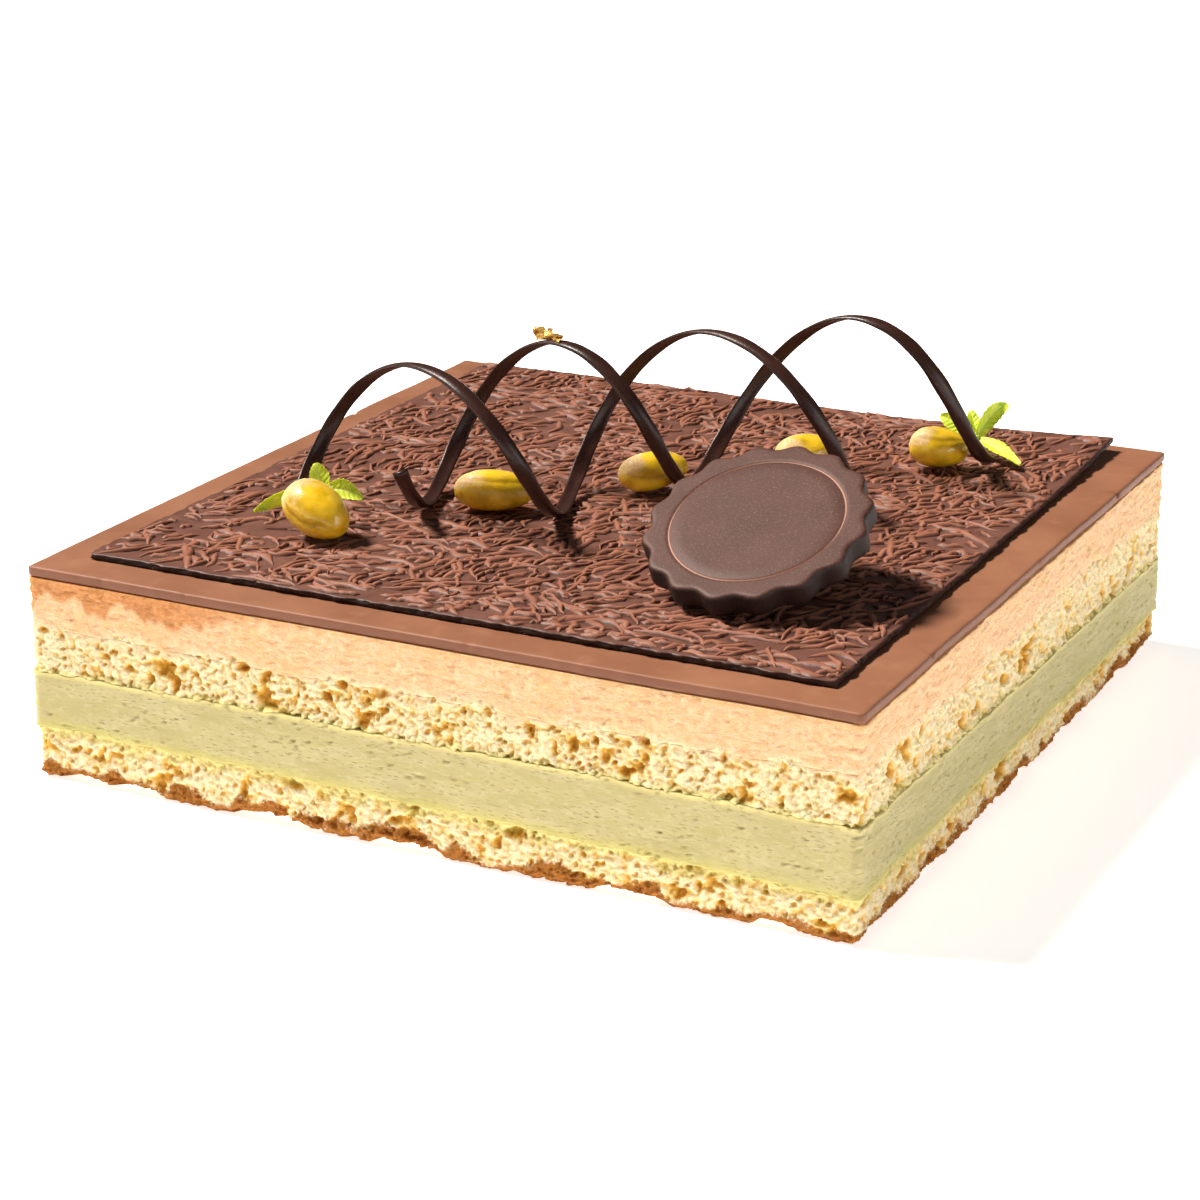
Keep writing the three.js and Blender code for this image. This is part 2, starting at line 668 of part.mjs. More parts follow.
// A mint sprig: its leaves joined on a short stem that stands on the sheet
function sprig(shape) {
  const node = raised(shape.node);
  const height = shape.node[2] + STEM_RADIUS[1];
  const stem = new THREE.CylinderGeometry(STEM_RADIUS[1], STEM_RADIUS[0], height, STEM_SIDES);
  stem.rotateX(Math.PI / 2);
  stem.translate(node.x, node.y, REST + height / 2);
  const solid = shape.leaves.reduce(
    (joined, tip, i) => joined.add(asSolid(leaf(node, tip, i + 1))), asSolid(stem),
  );
  return meshOf(shape.name, fromSolid(solid), COLOURS.mint, 0.6);
}

// The gold flake stands along the first crest of the back curl, leaning back, its left end lifted
function flake() {
  const curlBack = CURLS[1];
  const lean = radians(FLAKE.lean);
  const surface = (u, v) => {
    const t = mix(FLAKE.from, FLAKE.to, u);
    const { width, through } = curlFrame(curlBack, t);
    const out = through.z < 0 ? through.negate() : through;
    const tall = mix(...FLAKE.heights, u) * (v + 1) / 2;
    const crumple = FLAKE.crumple * Math.sin(7 * u + 1) * Math.cos(3 * v + 2 * u);
    const lift = RIBBON_THICKNESS / 2 + FLAKE.lift + FLAKE.rise * u * u + tall * Math.cos(lean);
    return curlPoint(curlBack, t).addScaledVector(out, lift)
      .addScaledVector(width, tall * Math.sin(lean) + crumple - FLAKE.forward);
  };
  const { width } = curlFrame(curlBack, mix(FLAKE.from, FLAKE.to, 0.5));
  const geometry = thinSolid(FLAKE.cells, FLAKE.thickness, surface, width);
  return meshOf('gold_leaf_flake', geometry, COLOURS.gold, 0.3);
}

const cake = new THREE.Group();
cake.name = 'chocolate_pistachio_cake';
cake.add(...layers(), plate(), sheet());
cake.add(medallion(), dab());
cake.add(...CURLS.map(curl));
cake.add(...NUTS.map((shape, i) => nut(shape, i + 1)));
cake.add(...SPRIGS.map(sprig));
cake.add(flake());

export default cake;
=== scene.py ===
from math import pi

import bpy
import numpy as np
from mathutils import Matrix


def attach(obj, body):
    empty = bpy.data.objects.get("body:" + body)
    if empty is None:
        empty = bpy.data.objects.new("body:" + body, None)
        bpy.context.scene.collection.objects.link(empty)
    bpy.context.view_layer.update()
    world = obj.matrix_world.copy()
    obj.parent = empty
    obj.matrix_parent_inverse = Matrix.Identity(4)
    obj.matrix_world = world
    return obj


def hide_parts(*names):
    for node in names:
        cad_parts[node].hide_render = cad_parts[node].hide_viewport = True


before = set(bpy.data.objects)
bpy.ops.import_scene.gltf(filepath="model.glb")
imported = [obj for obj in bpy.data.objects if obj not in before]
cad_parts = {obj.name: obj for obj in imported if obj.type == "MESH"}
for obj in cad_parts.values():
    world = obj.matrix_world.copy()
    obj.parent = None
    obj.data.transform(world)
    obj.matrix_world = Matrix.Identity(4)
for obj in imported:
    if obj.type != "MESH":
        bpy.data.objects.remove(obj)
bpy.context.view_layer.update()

# Base sponge. The bottom sheet of yellow sponge, baked flat and trimmed square with the cake.
# Its cut sides show open crumb, green where the cream above has soaked in, and a brown baked
# crust along the ragged foot. It lies on the table and carries every other layer.
MM = 0.001
CAKE_HALF = 100.0
CAKE_CORNER = 1.6
CAP_MARGIN = 6.0
BASE_JOINT = ([13.2, 10.8, 9.6, 11.0], [0.1, 0.2, 0.3, -0.2], 11)
BASE_STAND = 0.0
BASE_COLUMNS, BASE_ROWS = 2000, 34


def ease(low, high, value):
    """0 at low, 1 at high, with a smooth rise between them."""
    share = np.clip((value - low) / (high - low), 0, 1)
    return share * share * (3 - 2 * share)


def scatter(cell, seed):
    """Repeatable numbers from 0 to 1, one for each cell of a grid."""
    mixed = cell[..., 0] * 374761393 + cell[..., 1] * 668265263 + cell[..., 2] * 1440662683
    mixed = (mixed + seed * 1274126177) & 0xFFFFFFFF
    mixed = ((mixed ^ (mixed >> 13)) * 1274126177) & 0xFFFFFFFF
    mixed = ((mixed ^ (mixed >> 15)) * 668265263) & 0xFFFFFFFF
    return ((mixed ^ (mixed >> 16)) & 0xFFFF) / 65535


def clouds(points, size, seed):
    """Soft lumps from 0 to 1, about size millimetres across."""
    spot = points / np.asarray(size, float)
    cell = np.floor(spot).astype(np.int64)
    share = spot - cell
    share = share * share * (3 - 2 * share)
    total = np.zeros(points.shape[:-1])
    for corner in np.ndindex(2, 2, 2):
        weight = np.where(np.array(corner) == 1, share, 1 - share).prod(-1)
        total += weight * scatter(cell + np.array(corner), seed)
    return total


def pebbles(points, size, seed):
    """Distance to the nearest of scattered grains, in grain sizes, and that grain's own number."""
    spot = points / np.asarray(size, float)
    cell = np.floor(spot).astype(np.int64)
    near = np.full(points.shape[:-1], 9.0)
    pick = np.zeros(points.shape[:-1])
    for step in np.ndindex(3, 3, 3):
        grain = cell + np.array(step) - 1
        middle = np.stack([scatter(grain, seed + k) for k in (1, 2, 3)], -1)
        reach = np.linalg.norm(spot - grain - middle, axis=-1)
        closer = reach < near
        near = np.where(closer, reach, near)
        pick = np.where(closer, scatter(grain, seed + 4), pick)
    return near, pick


def rim(columns, half=CAKE_HALF, corner=CAKE_CORNER):
    """Places and outward directions round a square with rounded corners, front left first."""
    straight = 2 * (half - corner)
    quarter = straight + corner * pi / 2
    run = np.arange(columns) * 4 * quarter / columns
    side = (run // quarter).astype(int) % 4
    run = run - side * quarter
    turn = np.clip(run - straight, 0, None) / corner
    u = corner - half + np.minimum(run, straight) + corner * np.sin(turn)
    v = corner * (1 - np.cos(turn)) - half
    places = np.stack([np.choose(side, [u, -v, -u, v]), np.choose(side, [v, u, -v, -u])], -1)
    a, b = np.sin(turn), -np.cos(turn)
    outward = np.stack([np.choose(side, [a, -b, -a, b]), np.choose(side, [b, a, -b, -a])], -1)
    return places, outward


def joint(corners, swell, seed):
    """A layer joint's height round the cake: corner to corner, swelling and slightly wavy."""
    def height(x, y):
        facing = np.stack([-y, x, y, -x])
        side = facing.argmax(0)
        along = np.choose(side, [x, y, -x, -y]) / facing.max(0)
        share = (along + 1) / 2
        low, high = np.take(corners, side), np.take(corners, (side + 1) % 4)
        spots = np.stack([x, y, 0 * x], -1)
        wave = 0.7 * clouds(spots, 14, seed) + 0.6 * clouds(spots, 3.0, seed + 1) - 0.65
        return low + (high - low) * share + np.take(swell, side) * (1 - along ** 2) + wave
    return height


def shaped(name, points, faces, finish, replaces=(), marks=None):
    """A piece of the cake from points in millimetres, riding on the cake's one body."""
    mesh = bpy.data.meshes.new(name)
    faces = [np.asarray(group, np.int32) for group in faces]
    corners = np.concatenate([group.ravel() for group in faces])
    sizes = np.concatenate([np.full(len(group), group.shape[1]) for group in faces])
    starts = np.concatenate([[0], np.cumsum(sizes)[:-1]]).astype(np.int32)
    mesh.vertices.add(len(points))
    mesh.vertices.foreach_set("co", (np.asarray(points, np.float32) * MM).ravel())
    mesh.loops.add(len(corners))
    mesh.loops.foreach_set("vertex_index", corners)
    mesh.polygons.add(len(sizes))
    mesh.polygons.foreach_set("loop_start", starts)
    mesh.update(calc_edges=True)
    mesh.shade_smooth()
    for mark, values in (marks or {}).items():
        layer_mark = mesh.attributes.new(mark, "FLOAT", "POINT")
        layer_mark.data.foreach_set("value", np.asarray(values, np.float32))
    mesh.materials.append(finish)
    piece = bpy.data.objects.new(name, mesh)
    bpy.context.collection.objects.link(piece)
    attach(piece, "root")
    if replaces:
        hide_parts(*replaces)
    return piece


def bands(first, rows, columns, closed=True):
    """Faces of a grid of points numbered row by row from first."""
    i = np.arange(columns if closed else columns - 1)
    j = (i + 1) % columns
    row = first + np.arange(rows - 1)[:, None] * columns
    quads = np.stack([row + i, row + j, row + columns + j, row + columns + i], -1)
    return quads.reshape(-1, 4)


def fan(ring, centre, columns, up):
    """Triangles that close a ring on one point."""
    i = ring + np.arange(columns)
    j = ring + (np.arange(columns) + 1) % columns
    middle = np.full(columns, centre)
    return np.stack([i, j, middle] if up else [j, i, middle], -1)


def cake_layer(name, below, above, columns, rows, stand, relief, finish):
    """A layer between two joints. relief gives its side's crags and the marks for its finish."""
    places, outward = rim(columns)
    bottom, top = below(*places.T), above(*places.T)
    share = np.linspace(0, 1, rows + 1)[:, None] + 0 * bottom
    height = bottom + (top - bottom) * share
    side = np.concatenate([np.tile(places, (rows + 1, 1)), height.reshape(-1, 1)], 1)
    crags, marks = relief(side, (top - height).ravel(), (height - bottom).ravel())
    side[:, :2] += np.tile(outward, (rows + 1, 1)) * (stand + crags)[:, None]
    inner = places * (1 - CAP_MARGIN / CAKE_HALF)
    low_ring = np.column_stack([inner, bottom])
    high_ring = np.column_stack([inner, top])
    ends = [[0, 0, bottom.mean()], [0, 0, top.mean()]]
    points = np.concatenate([side, low_ring, high_ring, ends])
    extra = 2 * columns + 2
    marks = {mark: np.concatenate([values, np.zeros(extra)]) for mark, values in marks.items()}
    low, high, last = len(side), len(side) + columns, rows * columns
    i = np.arange(columns)
    j = (i + 1) % columns
    faces = [
        np.concatenate([
            bands(0, rows + 1, columns),
            np.stack([j, i, low + i, low + j], -1),
            np.stack([last + i, last + j, high + j, high + i], -1),
        ]),
        np.concatenate([
            fan(low, high + columns, columns, False),
            fan(high, high + columns + 1, columns, True),
        ]),
    ]
    return shaped(name, points, faces, finish, [name], marks)


def open_crumb(points, seed, coarse=1.0):
    """Relief of torn sponge in millimetres: crumbs of two sizes with ragged pores between them."""
    drift = np.stack([clouds(points, 2.4, seed + k) for k in range(3)], -1) - 0.5
    bent = points + 1.8 * drift
    crumb, pick = pebbles(bent, 1.8, seed + 10)
    grain, _ = pebbles(points, 0.9, seed + 20)
    hole = ease(0.45, 0.2, crumb) * (pick > 0.62)
    cave = 0.6 * clouds(bent, [4.4, 4.4, 3.6], seed + 30) + 0.4 * clouds(bent, 1.9, seed + 31)
    pit = 0.6 * clouds(bent, 2.1, seed + 40) + 0.4 * clouds(points, 1.0, seed + 41)
    pore, small = ease(0.6, 0.82, cave), ease(0.6, 0.8, pit)
    lumps = 0.5 - crumb + 0.7 * (0.5 - grain)
    return coarse * (lumps - 1.5 * pore - 0.7 * small - 1.1 * hole)


class Tone:
    """A socket in a finish's nodes. Sums and products of tones add Math nodes."""

    def __init__(self, tree, socket=None):
        self.tree = tree
        self.socket = socket

    def node(self, kind, settings, sockets, output=0):
        made = self.tree.nodes.new(kind)
        for key, value in settings.items():
            if key == "stops":
                elements = made.color_ramp.elements
                elements[0].position, elements[0].color = value[0]
                elements[-1].position, elements[-1].color = value[-1]
                for position, colour in value[1:-1]:
                    elements.new(position).color = colour
            else:
                setattr(made, key, value)
        for key, value in sockets.items():
            if isinstance(value, Tone):
                self.tree.links.new(value.socket, made.inputs[key])
            else:
                made.inputs[key].default_value = value
        return Tone(self.tree, made.outputs[output] if made.outputs else None)

    def sum(self, operation, first, second):
        return self.node("ShaderNodeMath", {"operation": operation}, {0: first, 1: second})

    def __add__(self, other):
        return self.sum("ADD", self, other)

    def __sub__(self, other):
        return self.sum("SUBTRACT", self, other)

    def __rsub__(self, other):
        return self.sum("SUBTRACT", other, self)

    def __mul__(self, other):
        return self.sum("MULTIPLY", self, other)

    __radd__ = __add__
    __rmul__ = __mul__

    def rise(self, low, high):
        """0 at low, 1 at high, smooth between."""
        return self.node("ShaderNodeMapRange", {"interpolation_type": "SMOOTHSTEP"},
                         {0: self, 1: low, 2: high, 3: 0.0, 4: 1.0})

    def between(self, colour, other):
        """One colour where this is 0, the other where it is 1."""
        return self.node("ShaderNodeMix", {"data_type": "RGBA"}, {0: self, 6: colour, 7: other}, 2)

    def ramp(self, *stops):
        return self.node("ShaderNodeValToRGB", {"stops": stops}, {0: self})

    def mark(self, name):
        return self.node("ShaderNodeAttribute", {"attribute_name": name}, {}, "Fac")

    def place(self, size, stretch):
        """Where a point lies on its piece, counted in steps of size millimetres."""
        place = self.node("ShaderNodeTexCoord", {}, {}, "Object")
        return self.node("ShaderNodeVectorMath", {"operation": "DIVIDE"},
                         {0: place, 1: [side * size * MM for side in stretch]})

    def grain(self, size, detail=2.0, stretch=(1, 1, 1), roughness=0.5):
        """Cloudy noise whose lumps are size millimetres across, before the stretch."""
        return self.node("ShaderNodeTexNoise", {}, {
            "Vector": self.place(size, stretch), "Scale": 1.0, "Detail": detail, "Roughness": roughness})

    def cells(self, size, stretch=(1, 1, 1)):
        """Distance to scattered points that stand about size millimetres apart."""
        return self.node("ShaderNodeTexVoronoi", {}, {
            "Vector": self.place(size, stretch), "Scale": 1.0}, "Distance")

    def bump(self, height, depth, strength=1.0):
        """A Normal from a height, full height standing for depth millimetres."""
        return self.node("ShaderNodeBump", {}, {
            "Strength": strength, "Distance": depth * MM, "Height": height}, "Normal")

    def surface(self, **sockets):
        """The Principled surface that ends a finish, its sockets named with _ for a space."""
        named = {key.replace("_", " "): value for key, value in sockets.items()}
        shader = self.node("ShaderNodeBsdfPrincipled", {}, named)
        self.node("ShaderNodeOutputMaterial", {}, {"Surface": shader})


def new_finish(name):
    finish = bpy.data.materials.new(name)
    finish.use_nodes = True
    finish.node_tree.nodes.clear()
    return finish, Tone(finish.node_tree)


def tint(red, green, blue):
    """A colour from its values on screen, 0 to 255."""
    shares = [value / 255 for value in (red, green, blue)]
    return [s / 12.92 if s <= 0.04045 else ((s + 0.055) / 1.055) ** 2.4 for s in shares] + [1]


def cut_finish(name):
    """Cut cake: crumb with painted shade that darkens it to deep gold in its hollows, and cream, soaked,
    baked and stained parts as marked, with painted shade under the plate.
    """
    finish, tone = new_finish(name)
    speckle = tone.grain(0.7, 3, roughness=0.6)
    patch = tone.grain(9, 2)
    streak = tone.grain(0.9, 3, (1.6, 1.6, 0.8), 0.65)
    # Painted shade: the crumb's colour darkens to deep gold with the depth of its hollows, mixed with random
    # tone from the speckle and patch noise.
    depth = tone.mark("hollow") + 0.45 * (speckle - 0.5) + 0.25 * (patch - 0.5)
    colour = depth.ramp((0.15, tint(255, 234, 192)), (0.38, tint(253, 216, 142)),
                        (0.62, tint(242, 190, 88)), (0.95, tint(208, 148, 52)))
    soaked = tone.mark("soak").rise(0.2, 0.8) * 0.8
    # The soaked crumb is painted darker with depth as well: painted shade in its hollows.
    colour = soaked.between(colour, depth.ramp((0.2, tint(234, 216, 136)), (0.9, tint(176, 152, 60))))
    cream = streak.ramp((0.3, tint(236, 184, 136)), (0.5, tint(246, 198, 154)),
                        (0.7, tint(252, 212, 176)))
    cream = (0.4 * patch.rise(0.45, 0.7)).between(cream, tint(238, 188, 130))
    cream = (0.25 * speckle.rise(0.55, 0.35)).between(cream, tint(228, 176, 112))
    spread = tone.mark("cream")
    colour = spread.between(colour, cream)
    # Painted shade: the cream is darkened to a warm orange just under the plate's edge.
    colour = (0.5 * tone.mark("shade")).between(colour, tint(218, 160, 98))
    stain = (tone.mark("stain") + 0.3 * (streak - 0.5) + 0.3 * (speckle - 0.5)).rise(0.12, 0.8)
    colour = (0.9 * stain).between(colour, streak.ramp((0.3, tint(190, 118, 62)), (0.7, tint(222, 156, 96))))
    crust = (tone.mark("crust") + 1.1 * (speckle - 0.5)).rise(0.3, 0.8)
    colour = crust.between(colour, speckle.ramp((0.3, tint(124, 68, 18)), (0.7, tint(196, 128, 48))))
    fine = tone.grain(0.36, 3, roughness=0.65)
    height = 0.5 * speckle + 0.5 * fine + 0.7 * spread * (streak - 0.5 * speckle - 0.5 * fine)
    tone.surface(Base_Color=colour, Roughness=0.84 - 0.16 * speckle, Normal=tone.bump(height, 0.8, 0.9),
                 Subsurface_Weight=0.3, Subsurface_Radius=(1.0, 0.6, 0.25), Subsurface_Scale=0.002,
                 Specular_IOR_Level=0.25)
    return finish


def ragged_foot(x, y):
    spots = np.stack([x, y, 0 * x], -1)
    nicks = clouds(spots, 9, 81)
    return 1.5 * ease(0.42, 0.85, nicks) + 0.55 * clouds(spots, 2.2, 82)


def base_relief(points, under_top, over_foot):
    crags = open_crumb(points, 200)
    crust = ease(5.6, 0.6, over_foot + 5.0 * (clouds(points, 4.2, 83) - 0.5))
    soak = ease(4.2, 0.6, under_top + 3.4 * (clouds(points, 3.0, 84) - 0.5))
    # This mark of how deep a point lies in the crumb paints shade in the hollows.
    hollow = ease(0.6, -1.7, crags)
    crags = crags - 1.1 * ease(1.4, 0.0, over_foot) + 0.3 * ease(0.9, 0.1, under_top)
    return crags, {"hollow": hollow, "crust": crust, "soak": soak}


base_top = joint(*BASE_JOINT)
cake_layer("sponge_base", ragged_foot, base_top, BASE_COLUMNS, BASE_ROWS, BASE_STAND,
           base_relief, cut_finish("sponge_crumb_base"))

# Pistachio cream. A thick band of pale green set cream, spread level on the base sponge and cut
# through with a hot knife. The cut is smooth, with fine slits and pinholes dragged along it.
CREAM_GAP = 0.06
GREEN_JOINT = ([26.0, 26.0, 23.2, 24.4], [0.7, 0.0, 0.4, 0.3], 12)
GREEN_STAND = 0.55
GREEN_COLUMNS, GREEN_ROWS = 1500, 28


def just_over(height):
    return lambda x, y: height(x, y) + CREAM_GAP


def green_relief(points, under_top, over_foot):
    slit, pick = pebbles(points, [2.6, 2.6, 0.8], 300)
    cut = ease(0.4, 0.14, slit) * (pick > 0.62) * ease(0.35, 0.65, clouds(points, [18, 18, 4], 301))
    swell = 0.4 * (clouds(points, 13, 302) - 0.5) + 0.3 * (clouds(points, [4, 4, 1.0], 303) - 0.5)
    torn = ease(1.6, 0.0, over_foot) * (clouds(points, 1.8, 304) - 0.3)
    return swell - 0.45 * cut + 0.7 * torn, {
        "slit": cut, "edge": ease(1.5, 0.2, under_top), "foot": ease(2.8, 0.0, over_foot)}


finish, tone = new_finish("pistachio_cream_cut")
drift = tone.grain(9, 2, (1.6, 1.6, 0.6))
streak = tone.grain(1.2, 3, (1.8, 1.8, 0.6), 0.6)
speckle = tone.grain(0.6, 3, roughness=0.6)
slit = tone.cells(1.0, (2.0, 2.0, 0.7)).rise(0.4, 0.12) * drift.rise(0.36, 0.6)
colour = drift.ramp((0.3, tint(184, 172, 118)), (0.7, tint(198, 186, 138)))
colour = (0.5 * streak.rise(0.5, 0.7)).between(colour, tint(210, 199, 152))
colour = (0.3 * streak.rise(0.5, 0.3)).between(colour, tint(196, 178, 106))
colour = (0.3 * speckle.rise(0.45, 0.25)).between(colour, tint(184, 168, 94))
colour = (0.6 * tone.mark("edge")).between(colour, tint(238, 222, 146))
colour = (0.5 * tone.mark("foot")).between(colour, tint(208, 198, 102))
slit = slit + tone.mark("slit")
# Painted shade: the colour darkens inside the slits and pinholes, where shade falls.
colour = (0.3 * slit).between(colour, tint(158, 138, 66))
height = 0.5 * streak + 0.3 * speckle - 0.4 * slit
tone.surface(Base_Color=colour, Roughness=0.6 + 0.15 * streak, Normal=tone.bump(height, 0.5, 0.8),
             Subsurface_Weight=0.1, Subsurface_Radius=(0.9, 0.8, 0.35), Subsurface_Scale=0.0015,
             Specular_IOR_Level=0.3)
green_top = joint(*GREEN_JOINT)
cake_layer("pistachio_cream", just_over(base_top), green_top, GREEN_COLUMNS, GREEN_ROWS,
           GREEN_STAND, green_relief, finish)

# Upper sponge. A second sheet of the same yellow sponge laid on the green cream. Its crumb is
# more open than the base's, with large pores, and the cream above has sunk into its top.
UPPER_JOINT = ([36.7, 37.2, 36.6, 36.4], [-0.4, 0.2, 0.3, 0.0], 13)
UPPER_STAND = 0.1
UPPER_COLUMNS, UPPER_ROWS = 2000, 34


def spread_crumb(points, over_joint):
    """Relief and marks where the cream has sunk into the crumb, over and under their joint."""
    ragged = 6.0 * (clouds(points, [7, 7, 3.4], 403) - 0.5)
    ragged = ragged + 3.0 * (clouds(points, [2.2, 2.2, 1.4], 404) - 0.5)
    cream = ease(-2.8, 2.0, over_joint + ragged)
    crumb = open_crumb(points, 410, 1.1)
    wrinkle = clouds(points, [3.4, 3.4, 1.1], 405) + 0.7 * clouds(points, [1.4, 1.4, 0.9], 406)
    crags = (1 - 0.85 * cream) * crumb + cream * 0.55 * (wrinkle - 0.85)
    # This hollow mark likewise paints shade in the crumb's hollows, except where cream covers them.
    return crags, {"cream": cream, "hollow": ease(0.6, -1.8, crumb) * (1 - cream)}


def upper_relief(points, under_top, over_foot):
    crags, marks = spread_crumb(points, -under_top)
    soak = 0.7 * ease(2.0, 0.2, over_foot + 2.6 * (clouds(points, 3, 407) - 0.5))
    return crags + 0.35 * ease(1.2, 0.1, over_foot), marks | {"soak": soak}


upper_top = joint(*UPPER_JOINT)
cake_layer("sponge_upper", just_over(green_top), upper_top, UPPER_COLUMNS, UPPER_ROWS,
           UPPER_STAND, upper_relief, cut_finish("sponge_crumb_upper"))

# Vanilla cream. A band of peach-coloured set cream under the plate, cut with the cake. The knife
# left fine wrinkles along it, its foot runs into the crumb, and at the front left warm
# chocolate has run down from the plate and stained it.
PLATE_FOOT = 48.1
VANILLA_STAND = 0.2
VANILLA_COLUMNS, VANILLA_ROWS = 1700, 28
STAIN_REACH = (-85.0, -8.0)


def vanilla_relief(points, under_top, over_foot):
    crags, marks = spread_crumb(points, over_foot)
    front = ease(1.0, 0.0, points[:, 1] + 99)
    run = ease(STAIN_REACH[1], STAIN_REACH[0], points[:, 0])
    drip = 0.6 + 3.6 * run + 5.5 * (clouds(points, [3.8, 3.8, 40], 502) - 0.5)
    drip = drip + 3.4 * (clouds(points, [1.5, 1.5, 30], 503) - 0.5)
    stain = front * (0.35 + 0.65 * run) * run ** 0.3 * ease(2.4, -1.2, under_top - drip)
    # The shade mark paints shade on the cream within 1.4 mm under the plate.
    return crags, marks | {"stain": stain, "shade": ease(1.4, 0.0, under_top)}


cake_layer("vanilla_cream", just_over(upper_top), lambda x, y: 0 * x + PLATE_FOOT - 0.15,
           VANILLA_COLUMNS, VANILLA_ROWS, VANILLA_STAND, vanilla_relief,
           cut_finish("vanilla_cream_cut"))

# Milk chocolate plate. A sheet of tempered milk chocolate 2.4 mm thick, cast flat, trimmed to the
# cake's size and laid on the cream. Its edges are softly rounded, with a few chips knocked out.
PLATE_THICKNESS = 2.4
PLATE_CORNER = 0.7
PLATE_COLUMNS = 1000
PLATE_PROFILE = [  # how far in from the edge, and the height
    (14, 0), (3, 0), (1.0, 0.0), (0.4, 0.08), (0.1, 0.32), (0.0, 0.8), (0.0, 1.6), (0.05, 2.0),
    (0.2, 2.28), (0.5, 2.4), (1.2, 2.42), (3, 2.4), (6, 2.38), (10, 2.4), (16, 2.4)]
PLATE_CHIPS = [  # place on the edge, and how wide and deep
    (-58.0, -100.0, 0.5, 0.35), (-80.0, -100.0, 0.5, 0.3), (100.0, -62.0, 0.9, 0.5),
    (100.0, 62.0, 1.1, 0.8), (12.0, -100.0, 0.6, 0.3), (100.0, 5.0, 0.7, 0.35),
    (-100.0, 40.0, 0.9, 0.6), (-30.0, 100.0, 1.0, 0.6)]


def closed_rings(count, columns):
    """Faces of stacked rings of points, closed at each end on one of the two points after them."""
    last = (count - 1) * columns
    low_end = fan(0, last + columns, columns, False)
    high_end = fan(last, last + columns + 1, columns, True)
    return [bands(0, count, columns), np.concatenate([low_end, high_end])]


places, outward = rim(PLATE_COLUMNS, CAKE_HALF, PLATE_CORNER)
spots = np.column_stack([places, np.zeros(PLATE_COLUMNS)])
waver = 0.5 * (clouds(spots, 26, 601) - 0.5) + 0.16 * (clouds(spots, 3, 602) - 0.5)
rings = []
for inset, height in PLATE_PROFILE:
    nearness = ease(3.0, 0.2, inset)
    pull = inset - nearness * waver
    drop = 0 * waver
    for x, y, wide, deep in PLATE_CHIPS:
        off = np.hypot(places[:, 0] - x, places[:, 1] - y) / wide
        bite = deep * np.exp(-off ** 2) * nearness * ease(0.6, 2.2, height)
        pull, drop = pull + bite, drop + 0.6 * bite
    ripple = 0.1 * nearness * (clouds(spots + height, 2.2, 603) - 0.5)
    ring = places * (1 - (inset - inset * nearness) / CAKE_HALF)
    ring = ring - outward * (pull + ripple - inset + inset * nearness)[:, None]
    rings.append(np.column_stack([ring, PLATE_FOOT + height - drop]))
points = np.concatenate(rings + [[[0, 0, PLATE_FOOT], [0, 0, PLATE_FOOT + PLATE_THICKNESS]]])
faces = closed_rings(len(PLATE_PROFILE), PLATE_COLUMNS)
finish, tone = new_finish("milk_chocolate_cast")
haze = tone.grain(22, 3)
dust = tone.grain(0.5, 3)
bloom = tone.grain(5, 3, roughness=0.6)
colour = haze.ramp((0.3, tint(138, 90, 64)), (0.7, tint(156, 106, 78)))
colour = (0.3 * bloom.rise(0.5, 0.75)).between(colour, tint(172, 122, 92))
# Painted shade: the plate's rounded edge and side are painted darker than its top, as the side takes less
# light.
colour = (0.6 * tone.mark("side")).between(colour, tint(116, 66, 46))
height = 0.6 * bloom + 0.25 * dust
tone.surface(Base_Color=colour, Roughness=0.4 + 0.16 * haze + 0.08 * dust,
             Normal=tone.bump(height, 0.12, 0.5), Specular_IOR_Level=0.35)
# This side mark sets where that painted shade lies on the plate's edge.
side = [ease(0.45, 0.1, inset) * ease(2.35, 2.0, height) for inset, height in PLATE_PROFILE]
shaped("milk_chocolate_plate", points, faces, finish, ["milk_chocolate_plate"],
       {"side": np.concatenate([np.repeat(side, PLATE_COLUMNS), [0, 0]])})

# Dark chocolate sheet. A thin sheet of dark chocolate set on textured film, laid on the plate
# with its back right corner curled up. Short raised strands like bark run together over its
# top, with smooth glossy pools between them, and its snapped edges are rough.
SHEET_HALF = np.array([90.0, 92.5])
SHEET_SHIFT, SHEET_TAPER = 2.5, 2.0
SHEET_FOOT, SHEET_TOP = 50.8, 52.1
SHEET_CELLS = 230
SHEET_LIFT, SHEET_LIFT_REACH = 2.0, 60.0
STRAND_TRIES, STRAND_COUNT = 20000, 3450
STRAND_POOL, STRAND_OVERLAP = 0.82, 0.2
STRAND_LENGTHS, STRAND_WIDTHS, STRAND_HEIGHTS = (2.6, 16), (0.9, 2.1), (0.62, 0.92)
STRAND_HEADING = np.radians(46)
STRAND_ALONG = np.array([-0.5, -0.45, -0.3, -0.1, 0.1, 0.3, 0.45, 0.5])
STRAND_ACROSS = np.array([-1.2, -0.74, 0.0, 0.74, 1.2])
STRAND_RISE = np.array([-0.12, 0.7, 1.0, 0.76, -0.12])
# Painted shade at each strand's foot, strongest at its outer edges, none at its middle.
STRAND_FOOT_SHADE = np.array([1.0, 0.4, 0.0, 0.4, 1.0])
FOOTPRINT_STEP, FOOTPRINT_REACH = 0.4, 2


def on_sheet(x, y, height):
    """Takes a place on the flat sheet to where it lies, tapered, its back right corner curled up."""
    right, back = x / SHEET_HALF[0] / 2 + 0.5, y / SHEET_HALF[1] / 2 + 0.5
    away = np.hypot(SHEET_HALF[0] - x, SHEET_HALF[1] - y)
    curled = np.clip(1 - away / SHEET_LIFT_REACH, 0, None)
    return np.stack([x - SHEET_TAPER * right * back, y + SHEET_SHIFT, height + SHEET_LIFT * curled ** 2], -1)


def sheet_top(x, y):
    spots = np.stack([x, y, 0 * x], -1)
    return SHEET_TOP + 0.24 * (clouds(spots, 7, 701) - 0.7)


